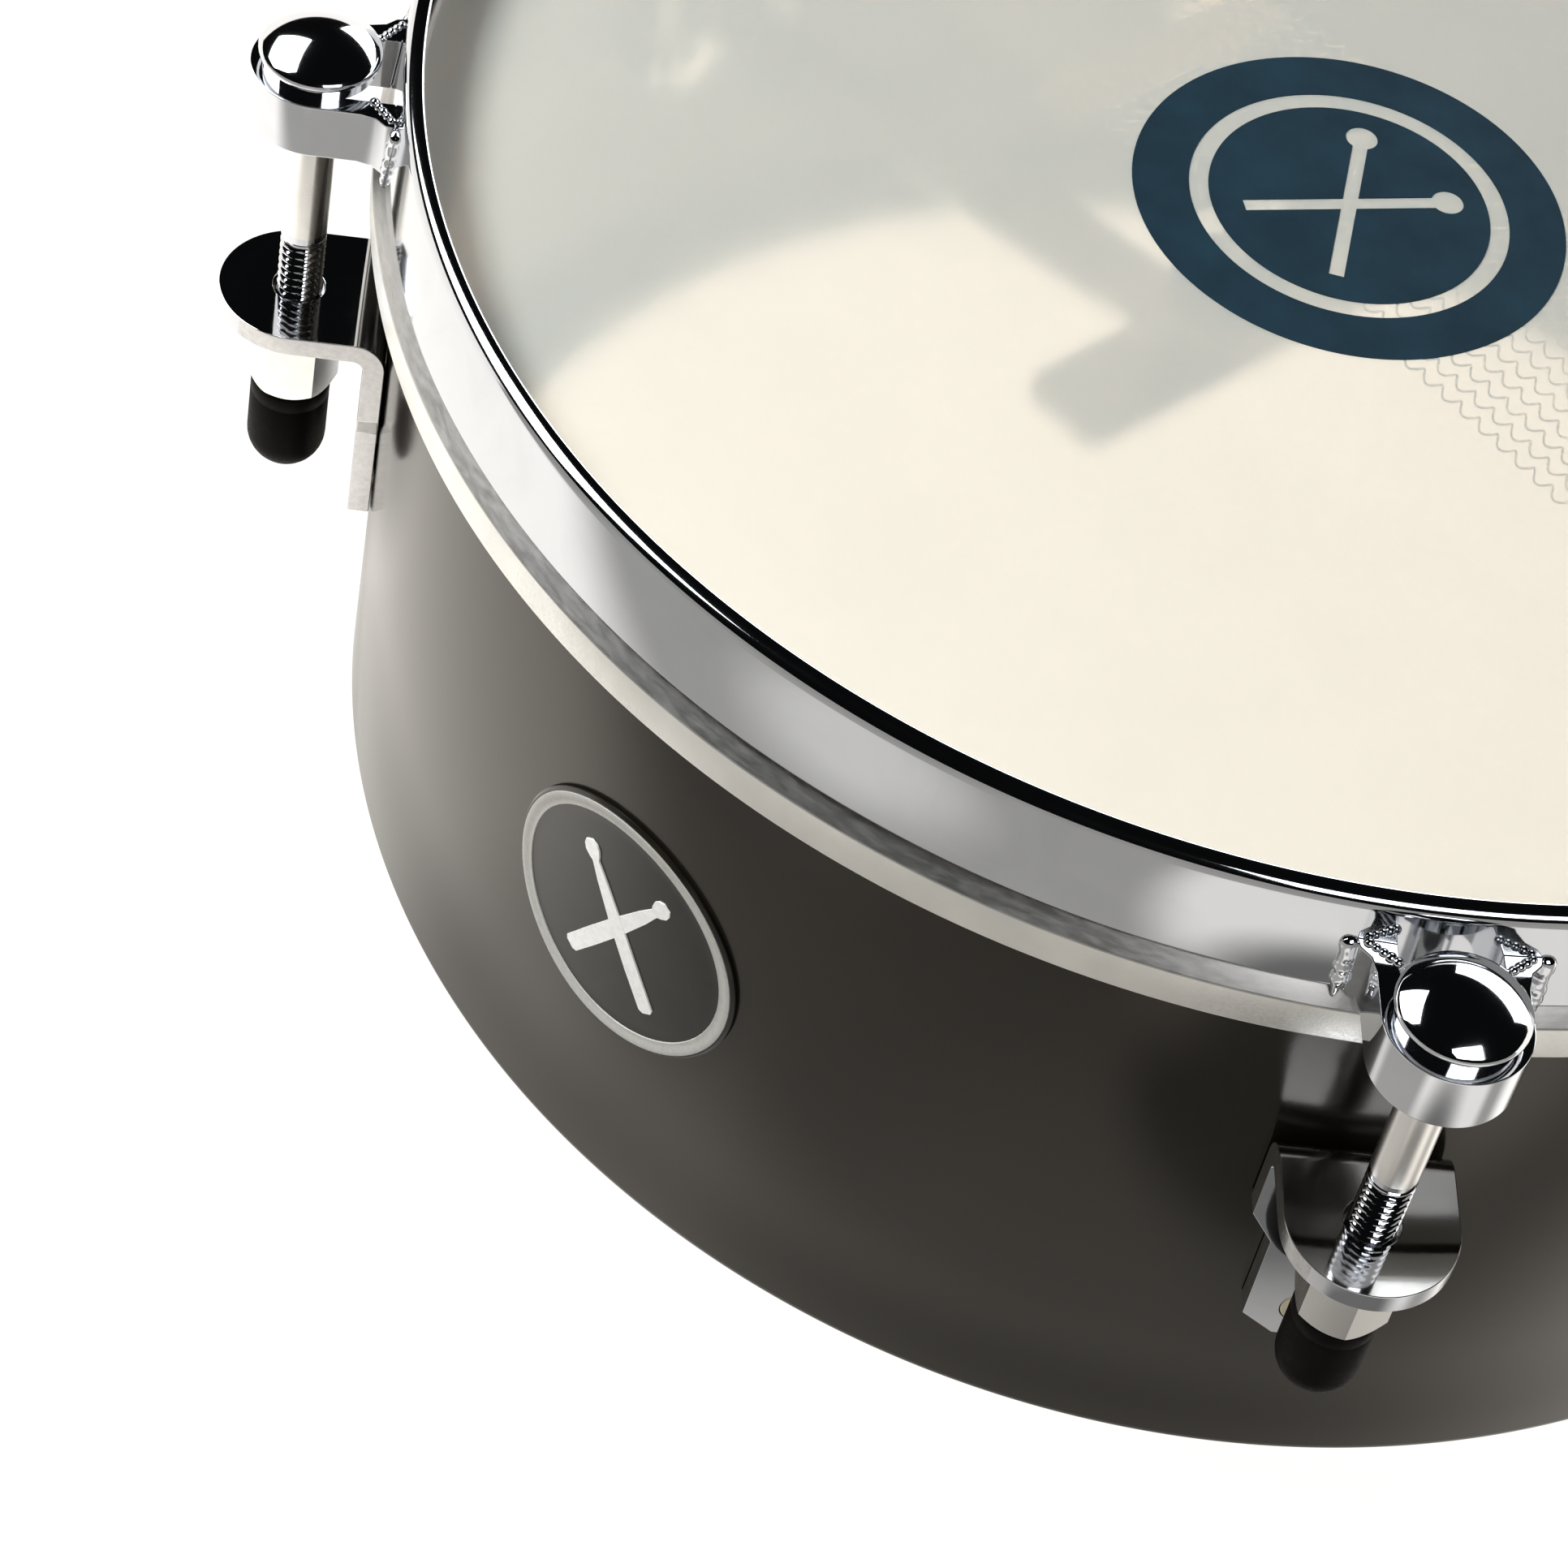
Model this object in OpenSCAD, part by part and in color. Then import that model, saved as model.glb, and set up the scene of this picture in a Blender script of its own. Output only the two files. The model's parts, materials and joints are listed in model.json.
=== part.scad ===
// Small steel-shelled timbale with an internal snare unit.
// The origin is the centre of the shell's bottom rim, +Z is up along the drum's axis,
// and the badge faces -Y. Lengths are in millimetres.

/* [Shell] */
// Outside radius of the steel shell
shell_r = 127; // [124:0.5:132]
// Height of the bearing edge above the bottom rim
shell_h = 106; // [104:0.5:116]
// Thickness of the shell's wall
shell_wall = 1.2; // [1:0.1:1.6]
// Width of the rim that's bent inwards at the bottom
rim_w = 10; // [6:0.5:12]
// Radius of the round badge on the front
badge_r = 19.8; // [12:0.2:24]
// Height of the badge's centre above the bottom rim
badge_z = 51; // [40:0.5:60]

/* [Head] */
// Thickness of the drumhead's film
film_t = 0.25; // [0.2:0.05:0.4]
// Radius of the round sticker on the head
sticker_r = 29.7; // [15:0.1:35]
// Sideways offset of the sticker from the centre of the head
sticker_x = -2.3; // [-5:0.1:5]

/* [Counter hoop] */
// Height of the hoop's bar
hoop_h = 14.3; // [13:0.1:16]
// Thickness of the hoop's bar
hoop_t = 2.7; // [2.4:0.1:3]
// How far the bar leans inwards from its bottom to its top
hoop_lean = 1.4; // [0:0.1:1.6]

/* [Tension lugs] */
// Distance from the shell's outside to the axis of a tension rod
rod_out = 12.8; // [12:0.1:14]
// Diameter of the tension rods
rod_d = 6.35; // [6:0.05:6.35]
// Diameter of the rods' domed heads
dome_d = 16.2; // [15.8:0.1:17]
// Outside radius of the hoop ears
ear_r = 9; // [8.8:0.1:9.6]
// Height of the hoop ears
ear_h = 8.2; // [8:0.1:9]
// Thickness of the lug brackets' plate
plate_t = 3; // [2.6:0.1:3.4]
// Height of the lug brackets' top face above the bottom rim
plate_z = 71; // [68:0.5:74]
// Width across the flats of the long hex nuts
nut_af = 11.11; // [10:0.01:12]
// Length of the long hex nuts
nut_len = 13.7; // [12:0.1:14]

/* [Snare unit] */
// Number of coiled snare strands
strand_n = 14; // [10:1:14]
// Distance between neighbouring strands
strand_step = 3; // [2.6:0.1:3.2]
// Length of the strands
strand_len = 120; // [110:1:124]
// Offset of the strands' middle towards their right end
strand_x = 16; // [14:0.5:18]
// Turn of the snare unit about the drum's axis, in degrees
snare_turn = -3.6; // [-6:0.2:6]

/* [Rod mount] */
// Diameter of the round mounting rod that the clamp takes
mount_rod_d = 9.5; // [9.5:0.1:10.5]
// Height of the clamp block
clamp_h = 34; // [30:1:40]

/* [Hidden] */

$fn = 96;
ring_fn = 360;

// Colours
black_steel = "#2b2825";
chrome = "#c9ccd1";
satin_aluminium = "#b9b8b2";
milky_film = "#e9e6dc";
navy = "#14293f";
rubber = "#1b1b1c";
spring_steel = "#a7a7a4";
zinc = "#b4b6b8";
felt_grey = "#5a5a58";
ribbon_white = "#d8d8d2";

// Gaps: a still contact, a gap between bodies that move, and a running fit
touch = 0.05;
gap = 0.3;
running = 0.05;
// Overshoot of a cutting tool past the face that it cuts
over = 1;

// Head: the film's flat underside, and its collar outside the shell
inner_r = shell_r - shell_wall;
rim_bend = 2.2;
film_z = shell_h + gap;
film_top = film_z + film_t;
collar_r = shell_r + gap + film_t;
collar_bend = 1.3;
collar_bottom = shell_h - 10;
sticker_t = 0.1;

// Counter hoop: bottom and top of the bar, and its leaning faces
hoop_z = shell_h - 3.8;
hoop_in = collar_r + 0.25;
hoop_out = hoop_in + hoop_t;
hoop_top = hoop_z + hoop_h;
hoop_round = 1.8;
hoop_inner_round = 0.4;
hoop_round_z = hoop_top - hoop_round;

// Flesh hoop: aluminium ring that the film's collar is set in
flesh_z = hoop_z - 8.2;
flesh_out = shell_r + 4.7;
flesh_shoulder_z = hoop_z - 2.6;
flesh_shoulder_r = hoop_out - 0.8;

// Tension rods, from the dome down to the end inside the rubber tip
rod_x = shell_r + rod_out;
rod_r = rod_d / 2;
ear_z = hoop_z + touch;
ear_wall = 2.8;
ear_wing = 11.2;
collar_seat_r = 7.4;
collar_seat_h = 1.8;
dome_z = ear_z + ear_h + collar_seat_h;
dome_rim = 0.9;
dome_rise = 2.9;
dome_ball_r = (pow(dome_d / 2, 2) + pow(dome_rise, 2)) / (2 * dome_rise);
rod_end_z = plate_z - 23;

// Lug brackets
plate_in = shell_r + touch;
bracket_half = rod_out - 1.9;
bend_r = plate_t + 1.5;
leg_shoulder_z = plate_z - 14;
leg_waist_z = plate_z - 19.5;
leg_half = 7.4;
leg_end_z = plate_z - 38.8;
leg_chamfer = [4.6, 3.7];
bracket_hole_r = rod_r + 0.4;
screw_zs = [plate_z - 33, plate_z - 9.5];
screw_r = 3;
screw_head = [4.8, 2.6];
washer = [6.2, 1];

// Nuts and rubber tips
nut_top = plate_z - plate_t - 0.1;
nut_bottom = nut_top - nut_len;
nut_chamfer = 1;
tip_r = 5.5;
tip_top = nut_bottom - touch;
tip_end = nut_bottom - 15.9;
tip_room_r = rod_r + 0.4;
tip_room_z = rod_end_z - 2;

// Snare strands just under the film
strand_r = 1;
strand_z = film_z - gap - strand_r;
strand_y = 1.5;
strip_half = (strand_n - 1) * strand_step / 2 + strand_r;
clip_t = 1;
clip_w = 8;
strap_t = 0.6;
strap_half = 15;
anchor_half = 18;
anchor_x = sqrt(pow(inner_r, 2) - pow(anchor_half, 2)) - touch;
anchor_z = shell_h - 27;
anchor_h = 16;
strap_drop = 6.5;

// Arm and crossbar below the strands
bar_t = 2.5;
arm_half = 6.3;
arm_slope = 8.8;
crossbar_x = -17.7;
crossbar_half_w = 7.6;
crossbar_half_l = 30;
crossbar_corner = 3;
crossbar_z = shell_h - 38.5;
foot_half = 13;
foot_h = 20;
foot_x = sqrt(pow(inner_r, 2) - pow(foot_half, 2)) - touch;
foot_screw_y = 8.5;

// Saddle that presses the strands up, and the screw that lifts it
lift_r = 2.5;
saddle_t = 3;
saddle_half_w = 3;
felt_t = 1.2;
felt_z = strand_z - strand_r - gap - felt_t;
saddle_z = felt_z - saddle_t;
boss_r = 5;
boss_h = 5;
saddle_travel = 4;
weld_nut_h = 4;
weld_nut_r = 5;
wheel_r = 8;
wheel_h = 7;
wheel_chamfer = 1;
wheel_flutes = 12;
flute_r = 1.5;
wheel_z = crossbar_z + bar_t + saddle_travel + 1.5;
lift_end_z = crossbar_z - weld_nut_h - 1;

// Rod mount on the back
mount_z = shell_h / 2 + 2;
mount_half_w = 21;
mount_half_h = 26;
gasket_y = shell_r + 1.9;
mount_y = gasket_y + touch + plate_t;
clamp_half = 12;
clamp_depth = 20;
clamp_corner = 6;
clamp_y = mount_y + 9.8;
clamp_r = mount_rod_d / 2 + 0.1;
clamp_back = mount_y + clamp_depth;
wing_r = 4;
shoe_r = 3.6;
shoe_t = 1.6;
shoe_y = clamp_y + clamp_r + 0.35;
wing_neck_r = 1.5;
wing_hub = [7, 11];
wing_root = 4;
wing_tip_r = 5;
wing_tip_x = 15;
wing_t = 4;
mount_screw_r = 2.5;
wall_head = [4.4, 2.4];
wall_nut = [4.6, 3.6];
mount_screw_xz = [15.5, 20.5];

// Four lugs, half-way between the front, the sides and the back
module at_lug(i) {
  rotate([0, 0, 45 + 90 * (i - 1)]) children();
}

// A cylinder along +X from x0 to x1
module x_rod(r, x0, x1) {
  translate([x0, 0, 0]) rotate([0, 90, 0]) cylinder(r = r, h = x1 - x0);
}

// A cylinder along +Y from y0 to y1
module y_rod(r, y0, y1) {
  translate([0, y0, 0]) rotate([-90, 0, 0]) cylinder(r = r, h = y1 - y0);
}

// The place of each bracket screw, with +X outwards
module at_bracket_screws() {
  for (i = [1:4])
    for (z = screw_zs)
      at_lug(i) translate([0, 0, z]) children();
}

// The snare unit's own frame, with +X along the strands
module in_snare_frame() {
  rotate([0, 0, snare_turn]) children();
}

// The four corners of the rod mount's plate, with +Y outwards
module at_mount_screws() {
  for (sx = [-1, 1])
    for (sz = [-1, 1])
      translate([sx * mount_screw_xz[0], 0, mount_z + sz * mount_screw_xz[1]]) children();
}

// Both screws of a snare strap's anchor, with +X outwards
module at_anchor_screws() {
  in_snare_frame()
    for (side = [0, 180])
      for (sy = [-1, 1])
        rotate([0, 0, side])
          translate([0, sy * (anchor_half - 5), anchor_z + anchor_h / 2]) children();
}

// Both screws of the snare arm's foot, with +X outwards
module at_foot_screws() {
  in_snare_frame()
    for (sy = [-1, 1])
      rotate([0, 0, 180])
        translate([0, sy * foot_screw_y, foot_bottom() + foot_h / 2 - 4]) children();
}

// Height of the snare arm's centre line at x, in the snare unit's frame
function arm_z(x) = crossbar_z + bar_t / 2 + (x - crossbar_x) * tan(arm_slope);
function foot_bottom() = arm_z(-foot_x) - foot_h / 2;

// Generic mark: two crossed sticks inside a ring, in a circle of radius r
module mark_2d(r) {
  difference() {
    circle(r = 0.74 * r);
    circle(r = 0.65 * r);
  }
  for (a = [-34, 34])
    rotate([0, 0, a]) {
      translate([-0.035 * r, -0.5 * r]) square([0.07 * r, 0.95 * r]);
      translate([0, 0.47 * r]) circle(r = 0.075 * r);
    }
}

// Shell: a cylinder with its bottom rim bent inwards, drilled for every screw
module shell() {
  color(black_steel)
    difference() {
      rotate_extrude($fn = ring_fn)
        union() {
          translate([inner_r, rim_bend])
            square([shell_wall, shell_h - rim_bend - shell_wall / 2]);
          translate([shell_r - shell_wall / 2, shell_h - shell_wall / 2])
            circle(r = shell_wall / 2);
          translate([shell_r - rim_w, 0])
            square([rim_w - rim_bend, shell_wall]);
          intersection() {
            translate([shell_r - rim_bend, rim_bend])
              difference() {
                circle(r = rim_bend);
                circle(r = rim_bend - shell_wall);
              }
            translate([shell_r - rim_bend, 0]) square(rim_bend);
          }
        }
      at_bracket_screws() x_rod(screw_r + touch, inner_r - 5, shell_r + over);
      at_anchor_screws() x_rod(mount_screw_r + touch, anchor_x - over, shell_r + over);
      at_foot_screws() x_rod(mount_screw_r + touch, foot_x - over, shell_r + over);
      at_mount_screws() y_rod(mount_screw_r + touch, inner_r - 5, shell_r + over);
    }
}

// Curved badge: a thin dished disc that follows the shell
module badge() {
  color("#1a1a1a")
    intersection() {
      translate([0, 0, badge_z - badge_r - over])
        difference() {
          cylinder(r = shell_r + 1, h = 2 * (badge_r + over), $fn = ring_fn);
          translate([0, 0, -over])
            cylinder(r = shell_r + touch, h = 2 * (badge_r + 2 * over), $fn = ring_fn);
        }
      translate([0, 0, badge_z]) y_rod(badge_r, -shell_r - 5, -shell_r + 5);
    }
}

// Drumhead: flat film that bends over the bearing edge into a collar
module head_film() {
  bend_x = collar_r - collar_bend;
  bend_z = film_top - collar_bend;
  color(milky_film)
    rotate_extrude($fn = ring_fn)
      union() {
        translate([0, film_z]) square([bend_x, film_t]);
        translate([collar_r - film_t, collar_bottom])
          square([film_t, bend_z - collar_bottom]);
        intersection() {
          translate([bend_x, bend_z])
            difference() {
              circle(r = collar_bend);
              circle(r = collar_bend - film_t);
            }
          translate([bend_x, bend_z]) square(collar_bend);
        }
      }
}

// Sticker in the middle of the head, with the generic mark cut out of it
module head_sticker() {
  color(navy)
    translate([sticker_x, 0, film_top])
      linear_extrude(sticker_t)
        difference() {
          circle(r = sticker_r, $fn = ring_fn);
          mark_2d(sticker_r);
        }
}

// Flesh hoop: the collar's ring, with a sloping shoulder under the counter hoop
module flesh_hoop() {
  color(satin_aluminium)
    rotate_extrude($fn = ring_fn)
      polygon([
        [collar_r, flesh_z],
        [flesh_out - 0.4, flesh_z],
        [flesh_out, flesh_z + 0.4],
        [flesh_out, flesh_shoulder_z - 0.3],
        [flesh_out - 0.4, flesh_shoulder_z],
        [flesh_shoulder_r + 0.3, hoop_z - 0.9],
        [flesh_shoulder_r, hoop_z - 0.5],
        [flesh_shoulder_r - 0.6, hoop_z - 0.5],
        [flesh_shoulder_r - 0.6, hoop_z],
        [collar_r, hoop_z]
      ]);
}

// Half section of the counter hoop's bar, filled in to the axis if filled is true
module hoop_section(filled) {
  round_x = hoop_out - hoop_lean - hoop_round;
  inner_x = hoop_in - hoop_lean + hoop_inner_round;
  polygon([
    [filled ? 0 : hoop_in, hoop_z],
    [hoop_out, hoop_z],
    [hoop_out - hoop_lean, hoop_round_z],
    [round_x, hoop_top],
    [filled ? 0 : inner_x, hoop_top],
    [filled ? 0 : hoop_in - hoop_lean, hoop_top - hoop_inner_round],
    [filled ? 0 : hoop_in, film_top + 0.4]
  ]);
  translate([round_x, hoop_round_z])
    intersection() {
      circle(r = hoop_round);
      square(hoop_round + over);
    }
  translate([inner_x, hoop_top - hoop_inner_round]) circle(r = hoop_inner_round);
}

module counter_hoop() {
  color(chrome) rotate_extrude($fn = ring_fn) hoop_section(false);
}

// Hoop ear: a strap bent round the tension rod, with wings welded to the hoop
module hoop_ear(i) {
  slot_half = ear_r - ear_wall;
  root_x = shell_r + 1;
  wing_xs = [rod_x - 6, rod_x - 8, rod_x - 9.3];
  wing_step = 0.5;
  color(chrome)
    at_lug(i)
      difference() {
        translate([0, 0, ear_z])
          linear_extrude(ear_h)
            difference() {
              union() {
                translate([rod_x, 0]) circle(r = ear_r);
                polygon([
                  [rod_x, ear_r],
                  [wing_xs[0], ear_r],
                  [wing_xs[1], ear_r + wing_step],
                  [wing_xs[2], ear_wing - wing_step],
                  [root_x, ear_wing],
                  [root_x, -ear_wing],
                  [wing_xs[2], wing_step - ear_wing],
                  [wing_xs[1], -ear_r - wing_step],
                  [wing_xs[0], -ear_r],
                  [rod_x, -ear_r]
                ]);
              }
              translate([rod_x, 0]) circle(r = slot_half);
              translate([0, -slot_half]) square([rod_x, 2 * slot_half]);
            }
        rotate_extrude($fn = ring_fn) hoop_section(true);
      }
}

// Tension rod: domed head on a collar that rests on the ear, and a straight rod
module tension_rod(i) {
  rim_top = dome_z + dome_rim;
  color(chrome)
    at_lug(i)
      translate([rod_x, 0, 0])
        union() {
          translate([0, 0, rod_end_z]) cylinder(r = rod_r, h = dome_z + over - rod_end_z);
          translate([0, 0, dome_z - collar_seat_h])
            cylinder(r = collar_seat_r, h = collar_seat_h + dome_rim / 2);
          translate([0, 0, dome_z])
            cylinder(r1 = dome_d / 2 - dome_rim / 2, r2 = dome_d / 2, h = dome_rim / 2);
          translate([0, 0, dome_z + dome_rim / 2]) cylinder(r = dome_d / 2, h = dome_rim / 2);
          intersection() {
            translate([0, 0, rim_top + dome_rise - dome_ball_r]) sphere(r = dome_ball_r);
            translate([0, 0, rim_top]) cylinder(r = dome_d / 2, h = dome_rise + over);
          }
        }
}

// Long hex nut under the bracket's ear, chamfered at its lower end
module hex_nut(i) {
  corner_r = nut_af / 2 / cos(30);
  color(chrome)
    at_lug(i)
      translate([rod_x, 0, nut_bottom])
        difference() {
          intersection() {
            cylinder(r = corner_r, h = nut_len, $fn = 6);
            union() {
              cylinder(r1 = corner_r - nut_chamfer, r2 = corner_r, h = nut_chamfer);
              translate([0, 0, nut_chamfer])
                cylinder(r = corner_r, h = nut_len - nut_chamfer);
            }
          }
          translate([0, 0, -over]) cylinder(r = rod_r + running, h = nut_len + 2 * over);
        }
}

// Rubber tip on the nut, with room inside for the end of the rod
module rubber_tip(i) {
  color(rubber)
    at_lug(i)
      translate([rod_x, 0, 0])
        difference() {
          union() {
            translate([0, 0, tip_end + tip_r])
              cylinder(r = tip_r, h = tip_top - tip_end - tip_r);
            translate([0, 0, tip_end + tip_r]) sphere(r = tip_r);
          }
          translate([0, 0, tip_room_z]) cylinder(r = tip_room_r, h = tip_top - tip_room_z + over);
        }
}

// Side outline of a bracket: the ear on top, the bend, and the leg down the shell
module bracket_side_2d() {
  ear_end = rod_x + bracket_half;
  union() {
    translate([plate_in + bend_r, plate_z - plate_t])
      square([ear_end - plate_in - bend_r, plate_t]);
    translate([plate_in, leg_end_z])
      square([plate_t, plate_z - bend_r - leg_end_z]);
    intersection() {
      translate([plate_in + bend_r, plate_z - bend_r])
        difference() {
          circle(r = bend_r);
          circle(r = bend_r - plate_t);
        }
      translate([plate_in, plate_z - bend_r]) square(bend_r);
    }
  }
}

// Front outline of a bracket's leg, as half width against height
module bracket_leg_2d() {
  polygon([
    [-bracket_half, plate_z + over],
    [-bracket_half, leg_shoulder_z],
    [-leg_half, leg_waist_z],
    [-leg_half, leg_end_z + leg_chamfer[1]],
    [-leg_half + leg_chamfer[0], leg_end_z],
    [leg_half - leg_chamfer[0], leg_end_z],
    [leg_half, leg_end_z + leg_chamfer[1]],
    [leg_half, leg_waist_z],
    [bracket_half, leg_shoulder_z],
    [bracket_half, plate_z + over]
  ]);
}

module lug_bracket(i) {
  color(chrome)
    at_lug(i)
      difference() {
        intersection() {
          translate([0, bracket_half, 0])
            rotate([90, 0, 0]) linear_extrude(2 * bracket_half) bracket_side_2d();
          translate([plate_in - over, 0, 0])
            rotate([90, 0, 90]) linear_extrude(40) bracket_leg_2d();
          union() {
            translate([rod_x, 0, leg_end_z]) cylinder(r = bracket_half, h = 50);
            translate([shell_r - over, -bracket_half, leg_end_z])
              cube([rod_out + over, 2 * bracket_half, 50]);
          }
        }
        translate([rod_x, 0, plate_z - 2 * plate_t])
          cylinder(r = bracket_hole_r, h = 3 * plate_t);
        for (z = screw_zs)
          translate([0, 0, z]) x_rod(screw_r + touch, plate_in - over, plate_in + plate_t + over);
      }
}

// Bracket screws: heads inside the shell, ends flush with the brackets' outside
module bracket_screws() {
  washer_in = washer_face() - washer[1] - touch;
  color(zinc)
    at_bracket_screws()
      union() {
        x_rod(screw_r, washer_in - 0.5, plate_in + plate_t);
        x_rod(screw_head[0], washer_in - screw_head[1], washer_in);
      }
}

// Where a flat washer touches the round inside of the shell
function washer_face() = sqrt(pow(inner_r, 2) - pow(washer[0], 2)) - touch;

module screw_washers() {
  color(zinc)
    at_bracket_screws()
      difference() {
        x_rod(washer[0], washer_face() - washer[1], washer_face());
        x_rod(screw_r + 2 * touch, inner_r - 8, inner_r);
      }
}

// Coiled strands, each as the round envelope of its coil
module snare_wires() {
  color(spring_steel)
    in_snare_frame()
      for (k = [0:strand_n - 1])
        translate([0, strand_y + (k - (strand_n - 1) / 2) * strand_step, strand_z])
          x_rod(strand_r, strand_x - strand_len / 2, strand_x + strand_len / 2);
}

// Plate that a whole end of the strands is soldered to
module snare_clip(side) {
  color(zinc)
    in_snare_frame()
      translate([
        strand_x + side * (strand_len - clip_w) / 2 - clip_w / 2,
        strand_y - strip_half - 1,
        strand_z - strand_r - clip_t
      ])
        cube([clip_w, 2 * (strip_half + 1), clip_t]);
}

// Ribbon from an end plate down to the anchor on the wall
module snare_strap(side) {
  start = [strand_len / 2 + side * strand_x - clip_w + 1, strand_z - strand_r - clip_t];
  color(ribbon_white)
    in_snare_frame()
      rotate([0, 0, side < 0 ? 180 : 0])
        translate([0, strap_half, 0])
          rotate([90, 0, 0])
            linear_extrude(2 * strap_half)
              polygon([
                [start[0], start[1] - strap_t],
                [start[0], start[1]],
                [start[0] + clip_w - 1, start[1]],
                [anchor_x - 2, start[1] - strap_drop],
                [anchor_x - 2, start[1] - strap_drop - strap_t],
                [start[0] + clip_w - 1, start[1] - strap_t]
              ]);
}

// Anchor plate on the inside of the shell, with a lip that grips the strap
module strap_anchor(side) {
  lip_z = strand_z - strand_r - clip_t - strap_drop - strap_t;
  lip_t = 1.4;
  color(zinc)
    in_snare_frame()
      rotate([0, 0, side < 0 ? 180 : 0])
        difference() {
          union() {
            translate([anchor_x - 2, -anchor_half, anchor_z])
              cube([2, 2 * anchor_half, lip_z - anchor_z + strap_t]);
            translate([anchor_x - 9, -anchor_half, lip_z - lip_t])
              cube([8, 2 * anchor_half, lip_t]);
          }
          for (sy = [-1, 1])
            translate([0, sy * (anchor_half - 5), anchor_z + anchor_h / 2])
              x_rod(mount_screw_r + touch, anchor_x - 4, anchor_x + over);
        }
}

// Screws of the strap anchors: heads outside the shell, nuts inside
module anchor_screws() {
  color(chrome) at_anchor_screws() wall_screw(anchor_x - 2, anchor_half - 5);
}

// A screw at y = off in the shell's wall, with its nut against a plate at x = plate_x
module wall_screw(plate_x, off) {
  seat = sqrt(pow(shell_r, 2) - pow(off - wall_head[0], 2)) + touch;
  union() {
    x_rod(mount_screw_r, plate_x - wall_nut[1] - 1.4, seat + 1);
    x_rod(wall_head[0], seat, seat + wall_head[1]);
    translate([plate_x - wall_nut[1] - touch, 0, 0])
      rotate([0, 90, 0]) cylinder(r = wall_nut[0], h = wall_nut[1], $fn = 6);
  }
}

// Sloping arm from its foot on the wall to the crossbar
module snare_arm() {
  end_x = crossbar_x - crossbar_half_w;
  color(zinc)
    in_snare_frame()
      difference() {
        union() {
          translate([-foot_x, -foot_half, foot_bottom()]) cube([bar_t, 2 * foot_half, foot_h]);
          translate([0, arm_half, 0])
            rotate([90, 0, 0])
              linear_extrude(2 * arm_half)
                polygon([
                  [-foot_x + bar_t / 2, arm_z(-foot_x) - bar_t / 2],
                  [end_x, arm_z(end_x) - bar_t / 2],
                  [end_x, arm_z(end_x) + bar_t / 2],
                  [-foot_x + bar_t / 2, arm_z(-foot_x) + bar_t / 2]
                ]);
        }
        for (sy = [-1, 1])
          translate([0, sy * foot_screw_y, foot_bottom() + foot_h / 2 - 4])
            x_rod(mount_screw_r + touch, -foot_x - over, -foot_x + bar_t + over);
      }
}

// Crossbar under the strands, with a hole for the lifting screw
module snare_crossbar() {
  w = crossbar_half_w - crossbar_corner;
  l = crossbar_half_l - crossbar_corner;
  color(zinc)
    in_snare_frame()
      translate([crossbar_x, 0, crossbar_z])
        linear_extrude(bar_t)
          difference() {
            union() {
              square([2 * crossbar_half_w, 2 * l], center = true);
              square([2 * w, 2 * crossbar_half_l], center = true);
              for (sx = [-1, 1])
                for (sy = [-1, 1])
                  translate([sx * w, sy * l]) circle(r = crossbar_corner);
            }
            circle(r = lift_r + running);
          }
}

module arm_screws() {
  color(chrome) at_foot_screws() wall_screw(foot_x - bar_t, foot_screw_y);
}

// Nut welded under the crossbar, which the lifting screw turns in
module weld_nut() {
  color(zinc)
    in_snare_frame()
      translate([crossbar_x, 0, crossbar_z - touch - weld_nut_h])
        difference() {
          cylinder(r = weld_nut_r, h = weld_nut_h, $fn = 6);
          translate([0, 0, -over]) cylinder(r = lift_r + running, h = weld_nut_h + 2 * over);
        }
}

// Saddle: a bar across the strands on a boss that swivels on the screw
module snare_saddle() {
  color(zinc)
    in_snare_frame()
      translate([crossbar_x, 0, 0])
        difference() {
          union() {
            translate([-saddle_half_w, strand_y - strip_half, saddle_z])
              cube([2 * saddle_half_w, 2 * strip_half, saddle_t]);
            translate([0, 0, saddle_z - boss_h]) cylinder(r = boss_r, h = boss_h + over);
          }
          translate([0, 0, saddle_z - boss_h - over])
            cylinder(r = lift_r + running, h = boss_h + over + saddle_t / 2);
        }
}

module saddle_felt() {
  color(felt_grey)
    in_snare_frame()
      translate([crossbar_x - saddle_half_w, strand_y - strip_half, felt_z])
        cube([2 * saddle_half_w, 2 * strip_half, felt_t]);
}

// Lifting screw, from the saddle down through the crossbar and its nut
module lift_screw() {
  color(chrome)
    in_snare_frame()
      translate([crossbar_x, 0, lift_end_z])
        cylinder(r = lift_r, h = saddle_z + 1 - lift_end_z);
}

// Fluted thumb wheel on the lifting screw, above the crossbar
module lift_knob() {
  color("#1d1d1d")
    in_snare_frame()
      translate([crossbar_x, 0, wheel_z])
        difference() {
          union() {
            cylinder(r1 = wheel_r - wheel_chamfer, r2 = wheel_r, h = wheel_chamfer);
            translate([0, 0, wheel_chamfer]) cylinder(r = wheel_r, h = wheel_h - 2 * wheel_chamfer);
            translate([0, 0, wheel_h - wheel_chamfer])
              cylinder(r1 = wheel_r, r2 = wheel_r - wheel_chamfer, h = wheel_chamfer);
          }
          for (k = [0:wheel_flutes - 1])
            rotate([0, 0, k * 360 / wheel_flutes])
              translate([wheel_r + flute_r / 2, 0, -over])
                cylinder(r = flute_r, h = wheel_h + 2 * over, $fn = 32);
          translate([0, 0, -over]) cylinder(r = lift_r + touch, h = wheel_h + 2 * over);
        }
}

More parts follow.
